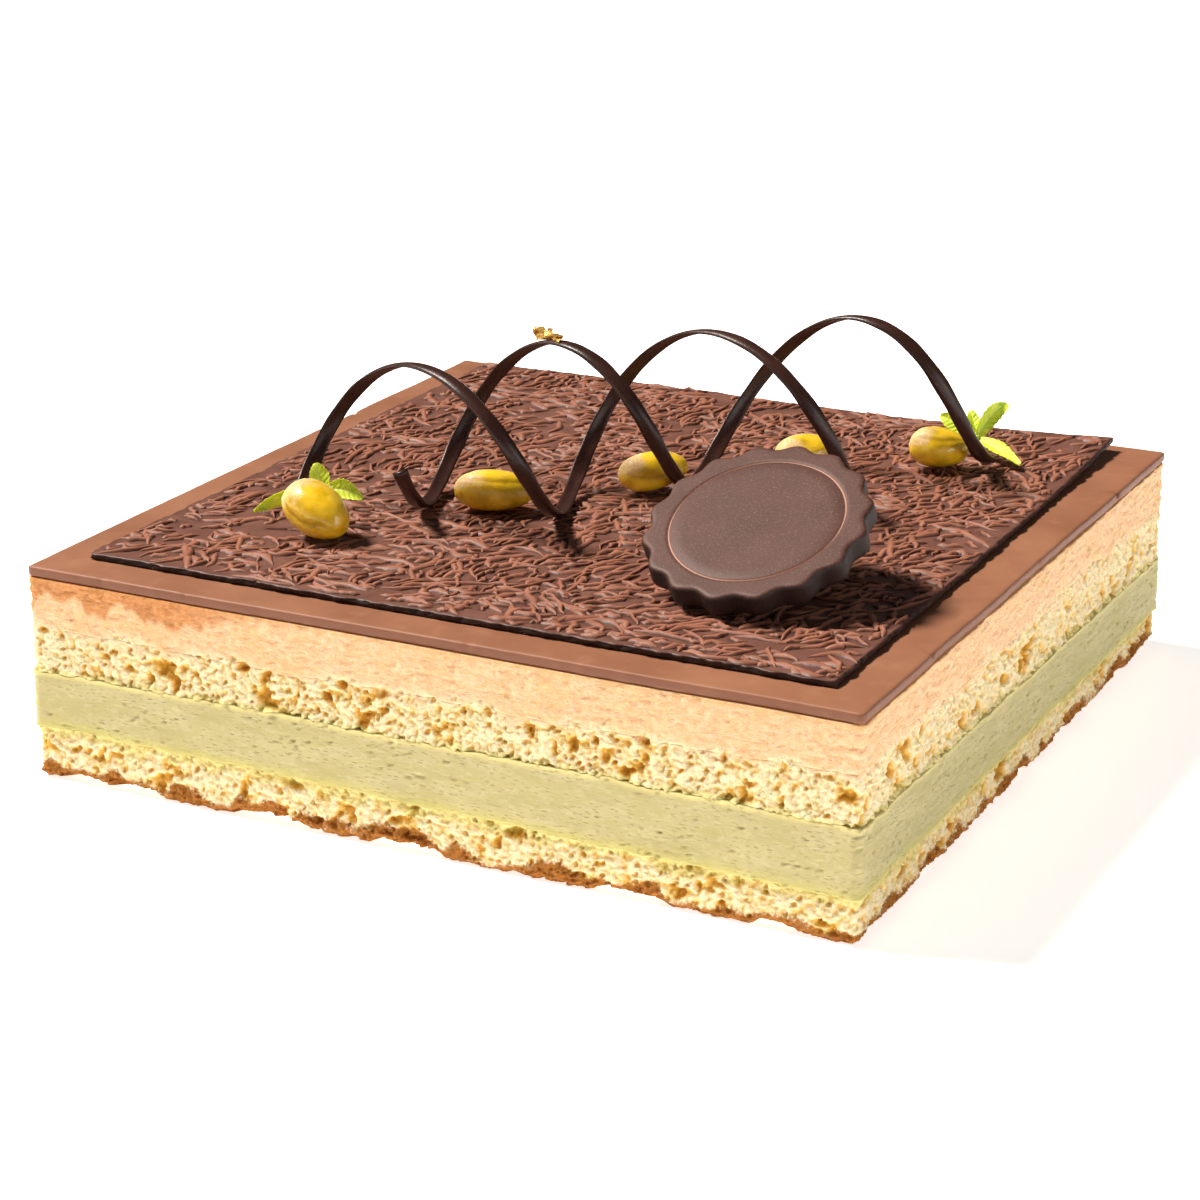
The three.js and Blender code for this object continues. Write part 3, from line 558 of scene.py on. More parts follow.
random = np.random.default_rng(71)
tries = random.uniform(-1, 1, (STRAND_TRIES, 2)) * (SHEET_HALF - 0.6)
spots = np.column_stack([tries, np.zeros(STRAND_TRIES)])
pools = clouds(spots, 10, 705) + 0.5 * clouds(spots, 4.5, 706)
headings = STRAND_HEADING + 2.0 * (clouds(spots, 17, 707) - 0.5) + random.normal(0, 0.6, STRAND_TRIES)
lengths = np.clip(random.lognormal(1.95, 0.45, STRAND_TRIES), *STRAND_LENGTHS)
widths = random.uniform(*STRAND_WIDTHS, STRAND_TRIES)
heights = random.uniform(*STRAND_HEIGHTS, STRAND_TRIES)
bends = random.normal(0, 0.15, STRAND_TRIES)
lucky = random.random(STRAND_TRIES) < 0.1
taken = np.zeros((2 * SHEET_HALF / FOOTPRINT_STEP).astype(int) + 2, bool)
u = np.linspace(-0.45, 0.45, 14)[:, None]
strands = []
for k in range(STRAND_TRIES):
    if pools[k] > STRAND_POOL and not lucky[k]:
        continue
    step = np.array([np.cos(headings[k]), np.sin(headings[k])])
    cross = np.array([-step[1], step[0]])
    axis = tries[k] + lengths[k] * (u * step + bends[k] * (1 - 4 * u ** 2) * cross)
    footprint = np.concatenate([axis + share * widths[k] * cross for share in (-0.5, 0, 0.5)])
    if (abs(footprint) > SHEET_HALF - 0.1).any():
        continue
    i, j = ((footprint + SHEET_HALF) / FOOTPRINT_STEP).round().astype(int).T
    if taken[i, j].mean() > STRAND_OVERLAP:
        continue
    taken[i, j] = True
    strands.append((*tries[k], headings[k], lengths[k], widths[k], heights[k], bends[k], k % 97))
    if len(strands) == STRAND_COUNT:
        break
near = range(-FOOTPRINT_REACH, FOOTPRINT_REACH + 1)
crowd = sum(np.roll(taken, (i, j), (0, 1)) for i in near for j in near) / len(near) ** 2

line = np.linspace(-1, 1, SHEET_CELLS + 1)
grid_x, grid_y = (axis.ravel() * half for axis, half in zip(np.meshgrid(line, line), SHEET_HALF))
spots = np.stack([grid_x, grid_y, 0 * grid_x], -1)
edge = np.maximum(abs(grid_x) / SHEET_HALF[0], abs(grid_y) / SHEET_HALF[1]) > 0.999
jag = np.where(edge, 0.9 * (clouds(spots, 4, 702) - 0.5) + 0.7 * (clouds(spots, 1.5, 703) - 0.5), 0)
jag = 1 + jag / SHEET_HALF[0]
side_count = SHEET_CELLS + 1
loop = np.concatenate([
    np.arange(SHEET_CELLS), SHEET_CELLS + side_count * np.arange(SHEET_CELLS),
    side_count ** 2 - 1 - np.arange(SHEET_CELLS),
    side_count * SHEET_CELLS - side_count * np.arange(SHEET_CELLS)])
upper = on_sheet(grid_x * jag, grid_y * jag, sheet_top(grid_x, grid_y))
lower = on_sheet(grid_x[loop], grid_y[loop], SHEET_FOOT)
inner = on_sheet(0.6 * grid_x[loop], 0.6 * grid_y[loop], SHEET_FOOT)
rows = []
for share in (0.25, 0.5, 0.75):
    rough = 1 + (clouds(spots + 9 * share, 1.3, 704)[loop, None] - 0.5) * 0.8 / SHEET_HALF[0]
    ring = lower + (upper[loop] - lower) * share
    rows.append(np.column_stack([ring[:, :2] * rough, ring[:, 2]]))
rings = [inner, lower] + rows
points = np.concatenate([upper] + rings + [[[0, SHEET_SHIFT, SHEET_FOOT]]])
grid = bands(0, side_count, side_count, closed=False)
steps = [len(upper) + k * len(loop) + np.arange(len(loop)) for k in range(len(rings))] + [loop]
sides = [np.stack([low, np.roll(low, -1), np.roll(high, -1), high], -1)
         for low, high in zip(steps, steps[1:])]
faces = [np.concatenate([grid] + sides), fan(len(upper), len(points) - 1, len(loop), False)]
i, j = ((np.stack([grid_x, grid_y], -1) + SHEET_HALF) / FOOTPRINT_STEP).round().astype(int).T
# Painted shade: the top is darkened where strands crowd close, in the narrow slits between them, by half
# along the sheet's edge, and fully on its sides and underside.
slit_shade = 0.85 * ease(0.12, 0.62, crowd[i, j])
painted_sheet_shade = np.concatenate([np.maximum(slit_shade, 0.5 * edge), np.ones(len(points) - len(upper))])


def dark_finish(name, colour_low, colour_high, gloss):
    """Dark chocolate: satin, with a faint pinkish bloom and fine dust, and painted shade where a piece marks
    its crevices.
    """
    finish, tone = new_finish(name)
    haze = tone.grain(6, 3)
    dust = tone.grain(0.35, 3, roughness=0.65)
    scuff = tone.grain(1.4, 3)
    colour = haze.ramp((0.3, colour_low), (0.7, colour_high))
    colour = (0.25 * dust.rise(0.55, 0.8)).between(colour, tint(140, 98, 84))
    # Painted shade: near black where a piece marks its crevices.
    colour = (0.9 * tone.mark("crevice")).between(colour, tint(32, 15, 11))
    tone.surface(Base_Color=colour, Roughness=gloss + 0.16 * haze + 0.12 * (dust - 0.5),
                 Normal=tone.bump(0.7 * scuff + 0.3 * dust, 0.14, 0.6), Specular_IOR_Level=0.3)
    return finish


# The pools are painted darker than the strands of the same chocolate: painted shade.
shaped("dark_sheet", points, faces, dark_finish(
    "dark_chocolate_pool_painted_shade", tint(100, 64, 53), tint(124, 83, 70), 0.4),
    ["dark_chocolate_sheet"], {"crevice": painted_sheet_shade})

x, y, heading, length, width, height, bend, number = np.array(strands).T[:, :, None, None]
u = STRAND_ALONG[None, :, None]
body = np.clip(1 - (2 * abs(u)) ** 2.4, 0, 1) ** 0.7
wander = 0.4 * np.sin(8.0 * u + 2.4 * number) * (1 - 4 * u ** 2)
plump = 1 + 0.3 * np.sin(13.0 * u + 1.7 * number)
plump = plump + 0.25 * np.sign(STRAND_ACROSS) * np.sin(17 * u + number)
across = STRAND_ACROSS * width / 2 * (0.1 + 0.9 * body) * plump
across = across + bend * length * (1 - 4 * u ** 2) + wander
point_x = x + u * length * np.cos(heading) - across * np.sin(heading)
point_y = y + u * length * np.sin(heading) + across * np.cos(heading)
point_x = np.clip(point_x, 0.05 - SHEET_HALF[0], SHEET_HALF[0] - 0.05)
point_y = np.clip(point_y, 0.05 - SHEET_HALF[1], SHEET_HALF[1] - 0.05)
swell = 0.8 + 0.25 * np.sin(11.0 * u + 3.1 * number)
point_z = sheet_top(point_x, point_y) + STRAND_RISE * height * (0.1 + body * swell)
points = on_sheet(point_x, point_y, point_z).reshape(-1, 3)
one = bands(0, len(STRAND_ALONG), len(STRAND_ACROSS), closed=False)
each = len(STRAND_ALONG) * len(STRAND_ACROSS)
faces = [(one[None] + each * np.arange(len(strands))[:, None, None]).reshape(-1, 4)[:, ::-1]]
# Painted shade at the strands' feet, where they meet the sheet.
crevice = (STRAND_FOOT_SHADE + 0 * point_x).ravel()
# The strands are painted lighter than the pools of the same chocolate: painted light on their raised tops.
shaped("dark_sheet_strands", points, faces, dark_finish(
    "dark_chocolate_strand_painted_light", tint(152, 96, 74), tint(176, 116, 92), 0.42),
    marks={"crevice": crevice})

# Chocolate dab. A blob of tempered dark chocolate piped on the sheet and pressed down by the
# medallion while soft, so that its top slants with the medallion's underside.
REST = 53.1
MEDAL_RADIUS, MEDAL_LOBE, MEDAL_EDGE = 24.6, 0.75, 0.7
MEDAL_LEAN, MEDAL_TURN = np.radians(25), np.radians(-7)
MEDAL_LOW = (MEDAL_RADIUS + MEDAL_LOBE - MEDAL_EDGE) * np.sin(MEDAL_LEAN)
MEDAL_AT = np.array([54, -45.5, REST + MEDAL_LOW])
DAB_AT, DAB_RADIUS, DAB_GAP = np.array([55.5, -37.0]), 8.5, 0.2
DAB_PROFILE = [(0.5, 0), (0.92, 0), (0.98, 0.05), (1.0, 0.14), (0.98, 0.3), (0.92, 0.55),
               (0.84, 0.8), (0.74, 0.97), (0.6, 1.0), (0.3, 1.0)]
DAB_COLUMNS = 72

cos_lean, sin_lean = np.cos(MEDAL_LEAN), np.sin(MEDAL_LEAN)
cos_turn, sin_turn = np.cos(MEDAL_TURN), np.sin(MEDAL_TURN)
medal_frame = np.array([[cos_turn, -sin_turn * cos_lean, sin_turn * sin_lean],
                        [sin_turn, cos_turn * cos_lean, -cos_turn * sin_lean],
                        [0, sin_lean, cos_lean]])
medal_normal = medal_frame[:, 2]
angle = np.linspace(0, 2 * pi, DAB_COLUMNS, endpoint=False)
rings = []
for scale, share in DAB_PROFILE:
    lobe = 1 + 0.05 * np.sin(3 * angle + 1) + 0.03 * np.sin(7 * angle)
    ring = DAB_AT + DAB_RADIUS * scale * (1 + (lobe - 1) * ease(0.5, 1, scale))[:, None] * np.stack(
        [np.cos(angle), np.sin(angle)], -1)
    under = MEDAL_AT[2] - (ring - MEDAL_AT[:2]) @ medal_normal[:2] / medal_normal[2] - DAB_GAP
    rings.append(np.column_stack([ring, REST + (under - REST) * share]))
ends = [rings[0].mean(0), rings[-1].mean(0)]
points = np.concatenate(rings + [ends])
faces = closed_rings(len(rings), DAB_COLUMNS)
shaped("chocolate_dab", points, faces, dark_finish(
    "dark_chocolate_dab", tint(64, 38, 32), tint(80, 50, 42), 0.3), ["chocolate_dab"])

# Medallion. A scalloped disc of dark chocolate cast in a mould, 5.5 mm thick, with one thin ring
# engraved round its plain face. It leans back on the dab with its low edge on the sheet.
MEDAL_COLUMNS, MEDAL_LOBES, MEDAL_SPIN = 320, 16, np.radians(6.2)
MEDAL_PROFILE = [  # how far in from the scalloped edge, and the height over the underside
    (8, 0), (2, 0), (1.0, 0), (0.5, 0.12), (0.2, 0.4), (0.03, 0.9), (0, 1.6), (0, 3.6), (0.04, 4.5),
    (0.18, 5.05), (0.45, 5.36), (0.85, 5.5), (1.5, 5.53), (3, 5.5), (4.2, 5.5)]
MEDAL_FACE = [  # radius and height
    (19.75, 5.5), (19.55, 5.42), (19.4, 5.2), (19.3, 5.12), (19.2, 5.2), (19.05, 5.42), (18.85, 5.5),
    (16, 5.49), (12, 5.47), (8, 5.47), (4, 5.48)]

angle = np.linspace(0, 2 * pi, MEDAL_COLUMNS, endpoint=False)
circle = np.stack([np.cos(angle), np.sin(angle)], -1)
rings = []
for inset, height in MEDAL_PROFILE:
    lobes = MEDAL_LOBE * np.cos(MEDAL_LOBES * (angle - MEDAL_SPIN)) * ease(5.0, 0.5, inset)
    rings.append(np.column_stack([circle * (MEDAL_RADIUS + lobes - inset)[:, None],
                                  np.full(MEDAL_COLUMNS, height)]))
for radius, height in MEDAL_FACE:
    rings.append(np.column_stack([circle * radius, np.full(MEDAL_COLUMNS, height)]))
points = np.concatenate(rings + [[[0, 0, 0], [0, 0, 5.48]]])
points[:, 2] += 0.06 * (clouds(points, 6, 801) - 0.5)
points = points @ medal_frame.T + MEDAL_AT
faces = closed_rings(len(rings), MEDAL_COLUMNS)
groove = np.concatenate([np.zeros(len(MEDAL_PROFILE) * MEDAL_COLUMNS)] + [
    np.full(MEDAL_COLUMNS, ease(5.48, 5.2, height)) for _, height in MEDAL_FACE] + [[0, 0]])
finish, tone = new_finish("medallion_chocolate_moulded")
haze = tone.grain(9, 3)
dust = tone.grain(0.4, 3, roughness=0.7)
colour = haze.ramp((0.3, tint(78, 49, 41)), (0.7, tint(89, 57, 48)))
colour = (0.5 * dust.rise(0.52, 0.72)).between(colour, tint(150, 108, 92))
# Painted highlight: the engraved ring is painted pale, as light caught on its walls.
colour = (0.9 * tone.mark("groove")).between(colour, tint(196, 152, 134))
# Painted shade: the medallion's side wall and underside are painted near black.
colour = (0.9 * tone.mark("side")).between(colour, tint(26, 13, 10))
tone.surface(Base_Color=colour, Roughness=0.48 + 0.12 * haze + 0.1 * (dust - 0.5),
             Normal=tone.bump(dust, 0.08, 0.6), Specular_IOR_Level=0.3)
# This side mark sets where that painted shade lies on the wall and underside.
side = np.concatenate([np.repeat([ease(5.36, 4.9, height) for _, height in MEDAL_PROFILE], MEDAL_COLUMNS),
                       np.zeros(len(MEDAL_FACE) * MEDAL_COLUMNS), [1, 0]])
shaped("chocolate_medallion", points, faces, finish,
       ["chocolate_medallion"], {"groove": groove, "side": side})

# Chocolate curls. Two long ribbons of dark chocolate spread thin, combed and wound round a rod
# while soft, then set standing on the sheet. Each ribbon is slightly cupped across its width.
CURLS = {
    "chocolate_curl_front": dict(
        at=(-33.5, -40.3), heading=43, pitch=65.9, stretch=4.5, rise=18.05, growth=1.4,
        reach=(23.1, 22.2), lean=(1.5, 1.5), start=-2.5, end=8.8, flick=0, settle=4.4),
    "chocolate_curl_back": dict(
        at=(-15.6, -6.5), heading=41, pitch=64.9, stretch=6.0, rise=17.9, growth=0.8,
        reach=(18.3, 15.6), lean=(2.0, 3.8), start=-4.25, end=9.15, flick=3, settle=0),
}
CURL_WIDTH, CURL_THICKNESS, CURL_CUP = 3.5, 0.9, 0.42
CURL_STEPS, CURL_ACROSS = 260, 9


def curl_line(shape, t):
    """The middle of a ribbon at angle t, counted from its first crest."""
    turns = t / (2 * pi)
    heading = np.radians(shape["heading"])
    along = shape["pitch"] * turns + shape["stretch"] * turns ** 2
    lean, reach = (first + (second - first) * turns for first, second in (shape["lean"], shape["reach"]))
    along = along + lean * (np.cos(t) + 1) / 2
    across = -reach * np.sin(t)
    rise = (shape["rise"] + shape["growth"] * turns) * (1 + np.cos(t))
    rise = rise + shape["flick"] * np.clip(-pi - t, 0, None) ** 2
    rise = rise - shape["settle"] * np.clip(t - 2.5 * pi, 0, None) ** 2
    return np.stack([
        shape["at"][0] + along * np.cos(heading) - across * np.sin(heading),
        shape["at"][1] + along * np.sin(heading) + across * np.cos(heading),
        REST + CURL_THICKNESS / 2 + rise], -1)


def unit(vectors):
    return vectors / np.linalg.norm(vectors, axis=-1, keepdims=True)


def curl_frame(shape, t):
    """Directions along a ribbon, across its width and through it."""
    along = unit(curl_line(shape, t + 0.01) - curl_line(shape, t - 0.01))
    heading = np.radians(shape["heading"])
    axis = np.array([np.cos(heading), np.sin(heading), 0.0])
    width = unit(axis - along * (along @ axis)[..., None])
    return along, width, np.cross(width, along)


curl_finish = dark_finish("curl_chocolate_set", tint(46, 25, 19), tint(60, 34, 27), 0.27)
for name, shape in CURLS.items():
    t = np.linspace(shape["start"], shape["end"], CURL_STEPS)
    middle = curl_line(shape, t)
    along, width, through = curl_frame(shape, t)
    inward = np.sign((through * (middle.mean(0) - middle)).sum(-1).mean())
    v = np.linspace(-1, 1, CURL_ACROSS)
    skin = CURL_THICKNESS / 2 * (1 - 0.55 * v ** 4)
    cup = CURL_CUP * (v ** 2 - 0.5)
    section = np.concatenate([
        np.stack([v * CURL_WIDTH / 2, cup + skin], -1),
        np.stack([v * CURL_WIDTH / 2, cup - skin], -1)[::-1]])
    ripple = 1 + 0.05 * np.sin(5.1 * t) + 0.04 * np.sin(11.7 * t + 1)
    points = (middle[:, None] + width[:, None] * (section[:, 0] * ripple[:, None])[..., None]
              + through[:, None] * inward * section[:, 1][None, :, None])
    points = np.concatenate([points.reshape(-1, 3), [points[0].mean(0), points[-1].mean(0)]])
    faces = closed_rings(CURL_STEPS, len(section))
    if inward < 0:
        faces = [group[:, ::-1] for group in faces]
    shaped(name, points, faces, curl_finish, [name])

# Pistachios. Five shelled kernels, roasted and glossy, laid along the diagonal under the curls.
# Each is a plump egg with a shallow crease, gold to green, with scraps of pale skin left on, and a pale patch
# painted on the top of one end as a highlight.
PISTACHIOS = [  # place, length, width, heading, pitch
    (-49.4, -59.3, 17.5, 12.6, -14, -20), (-22.9, -23.8, 19.0, 10.0, 25, -2),
    (3.1, 6.5, 17.0, 9.6, 40, 6), (30.3, 34.9, 15.4, 10.2, 38, 4), (56.9, 54.3, 14.4, 10.4, 26, -3)]
NUT_RINGS, NUT_SIDES = 48, 64

finish, tone = new_finish("pistachio_kernel")
ripe = tone.grain(5, 3)
flush = tone.grain(2.6, 3)
fleck = tone.grain(0.5, 3)
# Pale patches: scraps of skin scattered by noise, and a patch always on the top of one end that is a painted
# highlight.
skin = (tone.grain(3.0, 4, roughness=0.6) + 0.5 * tone.mark("skin")).rise(0.64, 0.98)
colour = ripe.ramp((0.28, tint(186, 156, 12)), (0.45, tint(238, 190, 22)), (0.62, tint(252, 208, 46)),
                   (0.8, tint(222, 150, 14)))
colour = (0.4 * flush.rise(0.5, 0.75)).between(colour, tint(250, 220, 96))
colour = (0.7 * skin).between(colour, fleck.ramp((0.3, tint(214, 158, 112)), (0.7, tint(250, 222, 176))))
# Painted shade: the crease is darkened, where shade falls in it.
colour = (0.45 * tone.mark("crease")).between(colour, tint(146, 96, 14))
tone.surface(Base_Color=colour, Roughness=0.24 + 0.3 * skin + 0.12 * fleck,
             Normal=tone.bump(0.6 * flush + 0.4 * fleck, 0.25, 0.6), Coat_Weight=0.35 - 0.3 * skin,
             Coat_Roughness=0.15, Subsurface_Weight=0.1, Subsurface_Radius=(1.0, 0.7, 0.15),
             Subsurface_Scale=0.0015, Specular_IOR_Level=0.5)
for number, (x, y, length, width, heading, pitch) in enumerate(PISTACHIOS, 1):
    polar = np.linspace(0, pi, NUT_RINGS + 2)[1:-1, None]
    around = np.linspace(0, 2 * pi, NUT_SIDES, endpoint=False)[None]
    along = -np.cos(polar)
    girth = np.sin(polar) ** 0.88 * (1 - 0.12 * along) * width / 2
    off = (around - 2.9 - 0.5 * np.sin(2.3 * number) + 0.5 * along ** 2) / 0.12
    crease = np.exp(-off ** 2) * ease(0.95, 0.6, abs(along))
    radius = girth * (1 - 0.05 * crease) * (1 + 0.03 * np.sin(3 * around + 2 * along + number))
    ring = np.stack([along * length / 2 + 0 * around, radius * np.cos(around),
                     0.94 * radius * np.sin(around)], -1).reshape(-1, 3)
    points = np.concatenate([ring, [[-length / 2, 0, 0], [length / 2, 0, 0]]])
    lumps = clouds(points + 40 * number, 3.2, 901) + 0.4 * clouds(points + 40 * number, 1.2, 902)
    points *= (1 + 0.05 * (lumps - 0.7))[:, None]
    pitch, heading = np.radians(-pitch), np.radians(heading)
    points = points @ np.array([[np.cos(pitch), 0, -np.sin(pitch)], [0, 1, 0],
                                [np.sin(pitch), 0, np.cos(pitch)]])
    points = points @ np.array([[np.cos(heading), np.sin(heading), 0],
                                [-np.sin(heading), np.cos(heading), 0], [0, 0, 1]])
    points += [x, y, REST - points[:, 2].min()]
    faces = [group[:, ::-1] for group in closed_rings(NUT_RINGS, NUT_SIDES)]
    name = f"pistachio_{number}"
    # Marks the top of one end, where the pale patch is painted as a highlight.
    skin_and_highlight = np.concatenate([(ease(0.2, -0.7, along) * ease(-0.2, 0.8, np.sin(around))).ravel(), [0, 0]])
    shaped(name, points, faces, finish, [name], {
        "crease": np.concatenate([crease.ravel(), [0, 0]]), "skin": skin_and_highlight})

# Mint sprigs. A short green stem stands behind a pistachio at each end of the row and carries the
# sprig's small leaves: toothed, puffed up between their veins and turned to the front right.
SPRIGS = {
    "mint_sprig_left": ((-54.1, -49.0, 7.0), [  # node; then tip, width, roll and arch of each leaf
        ((-66.9, -58.4, 2.8), 3.8, -35, 0.1), ((-56.4, -47.9, 13.1), 5.0, 10, 0.0),
        ((-45.0, -46.6, 5.9), 4.8, -8, 0.14)]),
    "mint_sprig_right": ((61.8, 67.8, 4.5), [
        ((51.9, 68.2, 8.9), 5.2, -12, 0.05), ((58.6, 71.4, 10.2), 3.8, 12, 0.03),
        ((66.6, 75.8, 11.8), 4.6, 10, 0.14), ((75.3, 61.4, 1.4), 4.2, -30, 0.02)]),
}
SPRIG_FACING = np.array([0.42, -0.84, 0.34])
LEAF_LONG, LEAF_WIDE = 56, 28
LEAF_THICKNESS, LEAF_TEETH = 0.4, 8
STEM_SIDES, STEM_STEPS = 20, 8

finish, tone = new_finish("mint_leaf")
mottle = tone.grain(1.8, 3)
fine = tone.grain(0.3, 3)
vein = tone.mark("vein")
colour = mottle.ramp((0.3, tint(190, 224, 36)), (0.55, tint(222, 242, 60)), (0.8, tint(238, 250, 110)))
colour = (0.55 * vein).between(colour, tint(238, 246, 160))
colour = (0.5 * tone.mark("stalk")).between(colour, tint(178, 190, 92))
tone.surface(Base_Color=colour, Roughness=0.46 + 0.16 * mottle, Normal=tone.bump(fine, 0.12, 0.5),
             Subsurface_Weight=0.25, Subsurface_Radius=(0.7, 1.0, 0.2), Subsurface_Scale=0.001,
             Specular_IOR_Level=0.4)


def leaf(node, tip, width, roll, arch, number):
    """Points and vein marks of one leaf, front face then back face."""
    span = tip - node
    length = np.linalg.norm(span)
    span = span / length
    across = unit(np.cross(SPRIG_FACING, span))
    roll = np.radians(roll)
    across = across * np.cos(roll) + np.cross(span, across) * np.sin(roll)
    normal = np.cross(span, across)
    u = np.linspace(0, 1, LEAF_LONG + 1)[:, None]
    v = np.linspace(-1, 1, LEAF_WIDE + 1)[None]
    breadth = 0.12 + 0.88 * np.sin(pi * (0.06 + 0.92 * u)) ** 0.8
    saw = (LEAF_TEETH * u + 0.15 * np.sign(v)) % 1
    tooth = 1 - 0.13 * ease(0.75, 1.0, abs(v)) * saw * ease(0.02, 0.2, u)
    half = width / 2 * breadth * tooth
    cup = 0.9 * (v ** 2 * breadth - 0.5) + 0.35 * v * u * np.sin(9 * u + number)
    slant = u * length - 0.75 * abs(v) * half
    between = abs(np.sin(pi * slant / 1.25))
    puff = 0.2 * between ** 0.7 * ease(0.0, 0.25, abs(v)) * breadth
    vein = np.maximum(ease(0.3, 0.05, between), ease(0.12, 0.03, abs(v))) * ease(1.02, 0.8, abs(v))
    middle = (node + u[..., None] * length * span + (v * half)[..., None] * across
              + (cup + puff)[..., None] * normal)
    middle[..., 2] += arch * length * np.sin(pi * u)
    skin = LEAF_THICKNESS / 2 * (1 - 0.6 * v ** 4 + 0 * u)[..., None] * normal
    sheets = np.concatenate([(middle + skin).reshape(-1, 3), (middle - skin).reshape(-1, 3)])
    return sheets, np.tile(vein.ravel(), 2)


def thin_sheet(long, wide):
    """Faces of a thin sheet: one side's grid of points, the other side's, and the edge between."""
    face = bands(0, long, wide, closed=False)
    edge = np.concatenate([np.arange(long) * wide, (long - 1) * wide + np.arange(1, wide),
                           (np.arange(long - 1)[::-1] + 1) * wide - 1, np.arange(1, wide - 1)[::-1]])
    far = np.roll(edge, -1)
    other = long * wide
    return np.concatenate([face, other + face[:, ::-1], np.stack([edge, far, other + far, other + edge], -1)])


leaf_faces = thin_sheet(LEAF_LONG + 1, LEAF_WIDE + 1)[:, ::-1]
for name, (node, leaves) in SPRIGS.items():
    node = np.array(node) + [0, 0, REST]
    points, marks, faces, count = [], [], [], 0
    for number, (tip, width, roll, arch) in enumerate(leaves, 1):
        sheets, vein = leaf(node, np.array(tip) + [0, 0, REST], width, roll, arch, number)
        points.append(sheets)
        marks.append(vein)
        faces.append(leaf_faces + count)
        count += len(sheets)
    angle = np.linspace(0, 2 * pi, STEM_SIDES, endpoint=False)
    for share in np.linspace(0, 1, STEM_STEPS):
        thick = 0.75 - 0.2 * share + 0.05 * np.sin(4 * angle)
        points.append(np.stack([node[0] + thick * np.cos(angle), node[1] + thick * np.sin(angle),
                                REST + (node[2] + 0.55 - REST) * share + 0 * angle], -1))
    points.append([[node[0], node[1], REST], [node[0], node[1], node[2] + 0.7]])
    points = np.concatenate(points)
    stem, caps = closed_rings(STEM_STEPS, STEM_SIDES)
    stalk = np.zeros(len(points))
    stalk[count:] = 1
    vein = np.concatenate(marks + [np.zeros(len(points) - count)])
    shaped(name, points, [np.concatenate(faces + [count + stem]), count + caps], finish, [name],
           {"vein": vein, "stalk": stalk})

# Gold flake. A torn scrap of edible gold leaf, beaten thin and crumpled, stuck by its lower edge
# along the first crest of the back curl. It stands up, taller at its lifted left end.
FLAKE_HEIGHTS, FLAKE_THICKNESS, FLAKE_LIFT, FLAKE_RISE = (2.3, 3.4), 0.16, 0.05, 0.5
FLAKE_FROM, FLAKE_TO, FLAKE_LEAN, FLAKE_FORWARD = -0.02, -0.44, np.radians(6), 0.9
FLAKE_CELLS = (44, 26)

shape = CURLS["chocolate_curl_back"]
u = np.linspace(0, 1, FLAKE_CELLS[0] + 1)[:, None]
v = np.linspace(-1, 1, FLAKE_CELLS[1] + 1)[None]
t = FLAKE_FROM + (FLAKE_TO - FLAKE_FROM) * u[:, 0]
_, width, out = curl_frame(shape, t)
out = (out * np.sign(out[:, 2:]))[:, None]
spots = np.stack([9 * u + 0 * v, 3 * v + 0 * u, 0 * u * v], -1)
torn = 1 - 0.35 * ease(0.3, 0.8, clouds(spots * [1, 0, 0], 0.9, 951)) * ease(0.2, 1.0, v)
tall = (FLAKE_HEIGHTS[0] + (FLAKE_HEIGHTS[1] - FLAKE_HEIGHTS[0]) * u) * (v + 1) / 2 * torn
crumple = 0.5 * np.sin(7 * u + 1) * np.cos(3 * v + 2 * u) + 0.7 * (clouds(spots, [0.9, 2.4, 1], 952) - 0.5)
lift = CURL_THICKNESS / 2 + FLAKE_LIFT + FLAKE_RISE * u ** 2 + tall * np.cos(FLAKE_LEAN)
middle = (curl_line(shape, t)[:, None] + lift[..., None] * out
          + (tall * np.sin(FLAKE_LEAN) + crumple - FLAKE_FORWARD)[..., None] * width[:, None])
sheets = np.concatenate([(middle - side * FLAKE_THICKNESS / 2 * width[:, None]).reshape(-1, 3)
                         for side in (1, -1)])
faces = [thin_sheet(FLAKE_CELLS[0] + 1, FLAKE_CELLS[1] + 1)]
finish, tone = new_finish("gold_leaf_beaten")
wrinkle = tone.grain(0.7, 3)
colour = wrinkle.ramp((0.3, tint(156, 104, 36)), (0.7, tint(228, 186, 100)))
tone.surface(Base_Color=colour, Metallic=0.85, Roughness=0.3 + 0.2 * wrinkle,
             Normal=tone.bump(wrinkle, 0.2, 0.8))
shaped("gold_leaf_flake", sheets, faces, finish, ["gold_leaf_flake"])

# Table and light. A white table top lit from below, in a dim white room. One strong light falls from
# the upper left, with two weak soft ones from the front and the right, seen through a long lens.
TABLE_HALF = 6.0
CAMERA_AT = (0.300915, -0.613298, 0.266562)
CAMERA_DOWN, CAMERA_TURN, CAMERA_LENS = 19.335, 26.710, 91.006

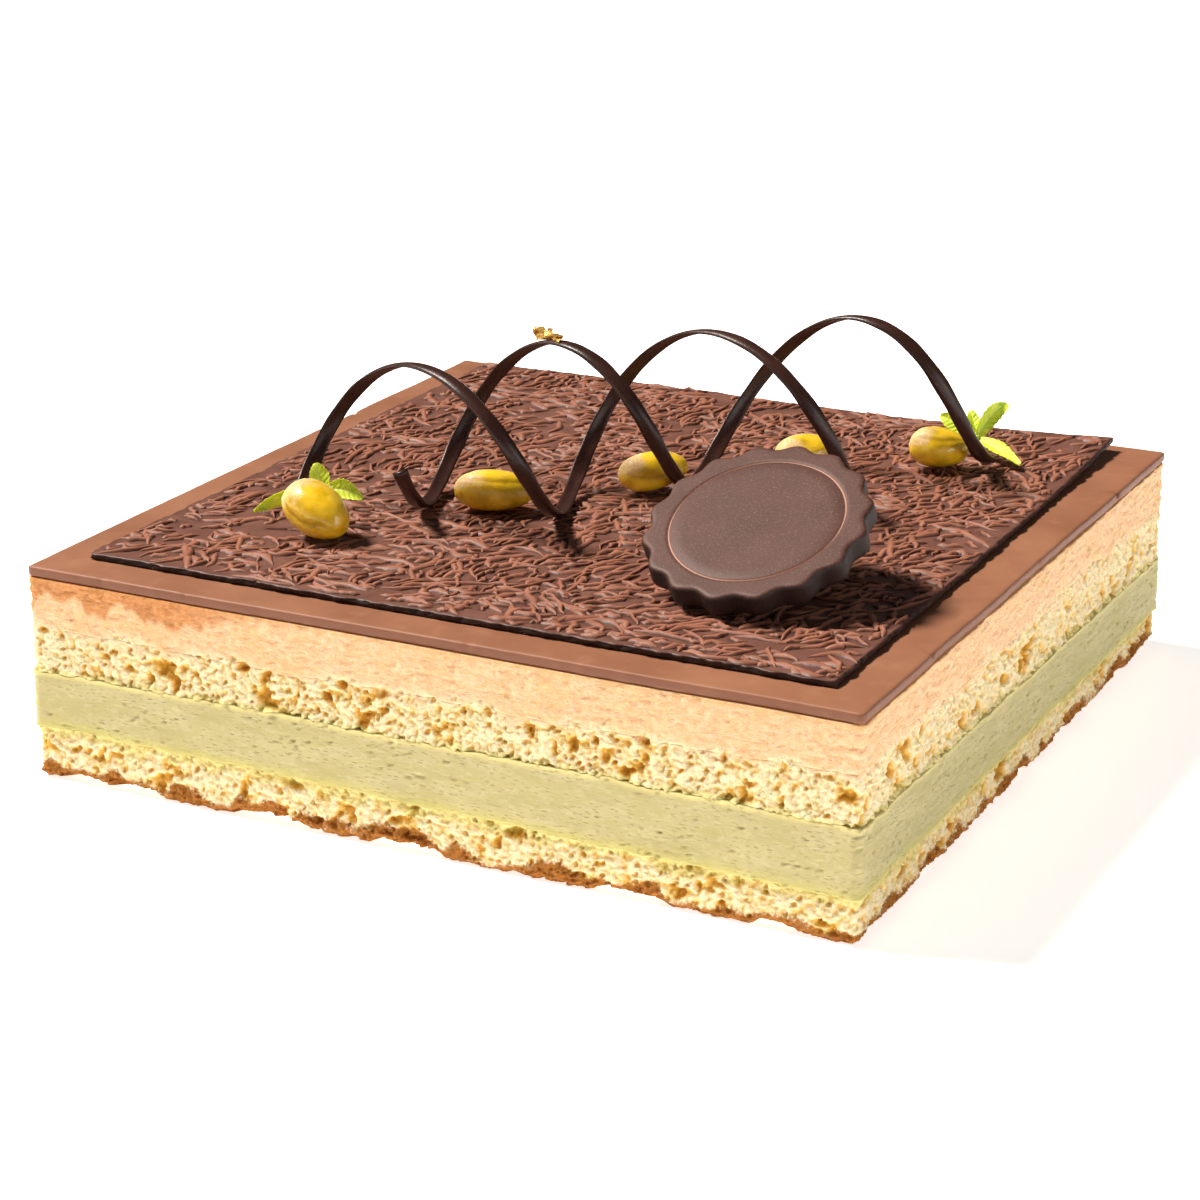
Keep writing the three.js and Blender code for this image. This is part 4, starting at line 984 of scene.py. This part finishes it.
mesh = bpy.data.meshes.new("table_top")
mesh.from_pydata([(-TABLE_HALF, -TABLE_HALF, 0), (TABLE_HALF, -TABLE_HALF, 0),
                  (TABLE_HALF, TABLE_HALF, 0), (-TABLE_HALF, TABLE_HALF, 0)], [], [(0, 1, 2, 3)])
finish, tone = new_finish("table_paint")
shade = tone.grain(400, 2).ramp((0.3, tint(243, 243, 242)), (0.7, tint(247, 247, 246)))
tone.surface(Base_Color=shade, Roughness=0.7, Emission_Color=shade, Emission_Strength=0.8)
mesh.materials.append(finish)
table = bpy.data.objects.new("table_top", mesh)
bpy.context.collection.objects.link(table)

world = bpy.data.worlds.new("white_room")
world.use_nodes = True
room = Tone(world.node_tree)
world.node_tree.nodes.clear()
room.node("ShaderNodeOutputWorld", {}, {"Surface": room.node(
    "ShaderNodeBackground", {}, {"Color": (1.0, 0.98, 0.96, 1.0), "Strength": 0.07})})
bpy.context.scene.world = world

for name, kind, place, size, power, colour in [
        ("key_light", "SUN", (-0.9, -0.11, 1.15), 0.2, 6.2, (1.0, 0.94, 0.87)),
        ("front_light", "AREA", (-0.75, -1.05, 0.5), 0.6, 0.7, (1.0, 0.93, 0.86)),
        ("right_light", "AREA", (1.2, -0.3, 0.25), 0.5, 3.4, (1.0, 0.97, 0.96))]:
    light = bpy.data.lights.new(name, kind)
    light.energy, light.color = power, colour
    if kind == "SUN":
        light.angle = size
    else:
        light.size = size
    lamp = bpy.data.objects.new(name, light)
    lamp.location = place
    lamp.rotation_euler = (-lamp.location).to_track_quat("-Z", "Y").to_euler()
    bpy.context.collection.objects.link(lamp)

lens = bpy.data.cameras.new("camera")
lens.lens, lens.sensor_width, lens.clip_end = CAMERA_LENS, 36.0, 50.0
camera = bpy.data.objects.new("camera", lens)
camera.location = CAMERA_AT
camera.rotation_euler = np.radians([90 - CAMERA_DOWN, 0, CAMERA_TURN])
bpy.context.collection.objects.link(camera)
bpy.context.scene.camera = camera
bpy.context.scene.view_settings.view_transform = "Standard"
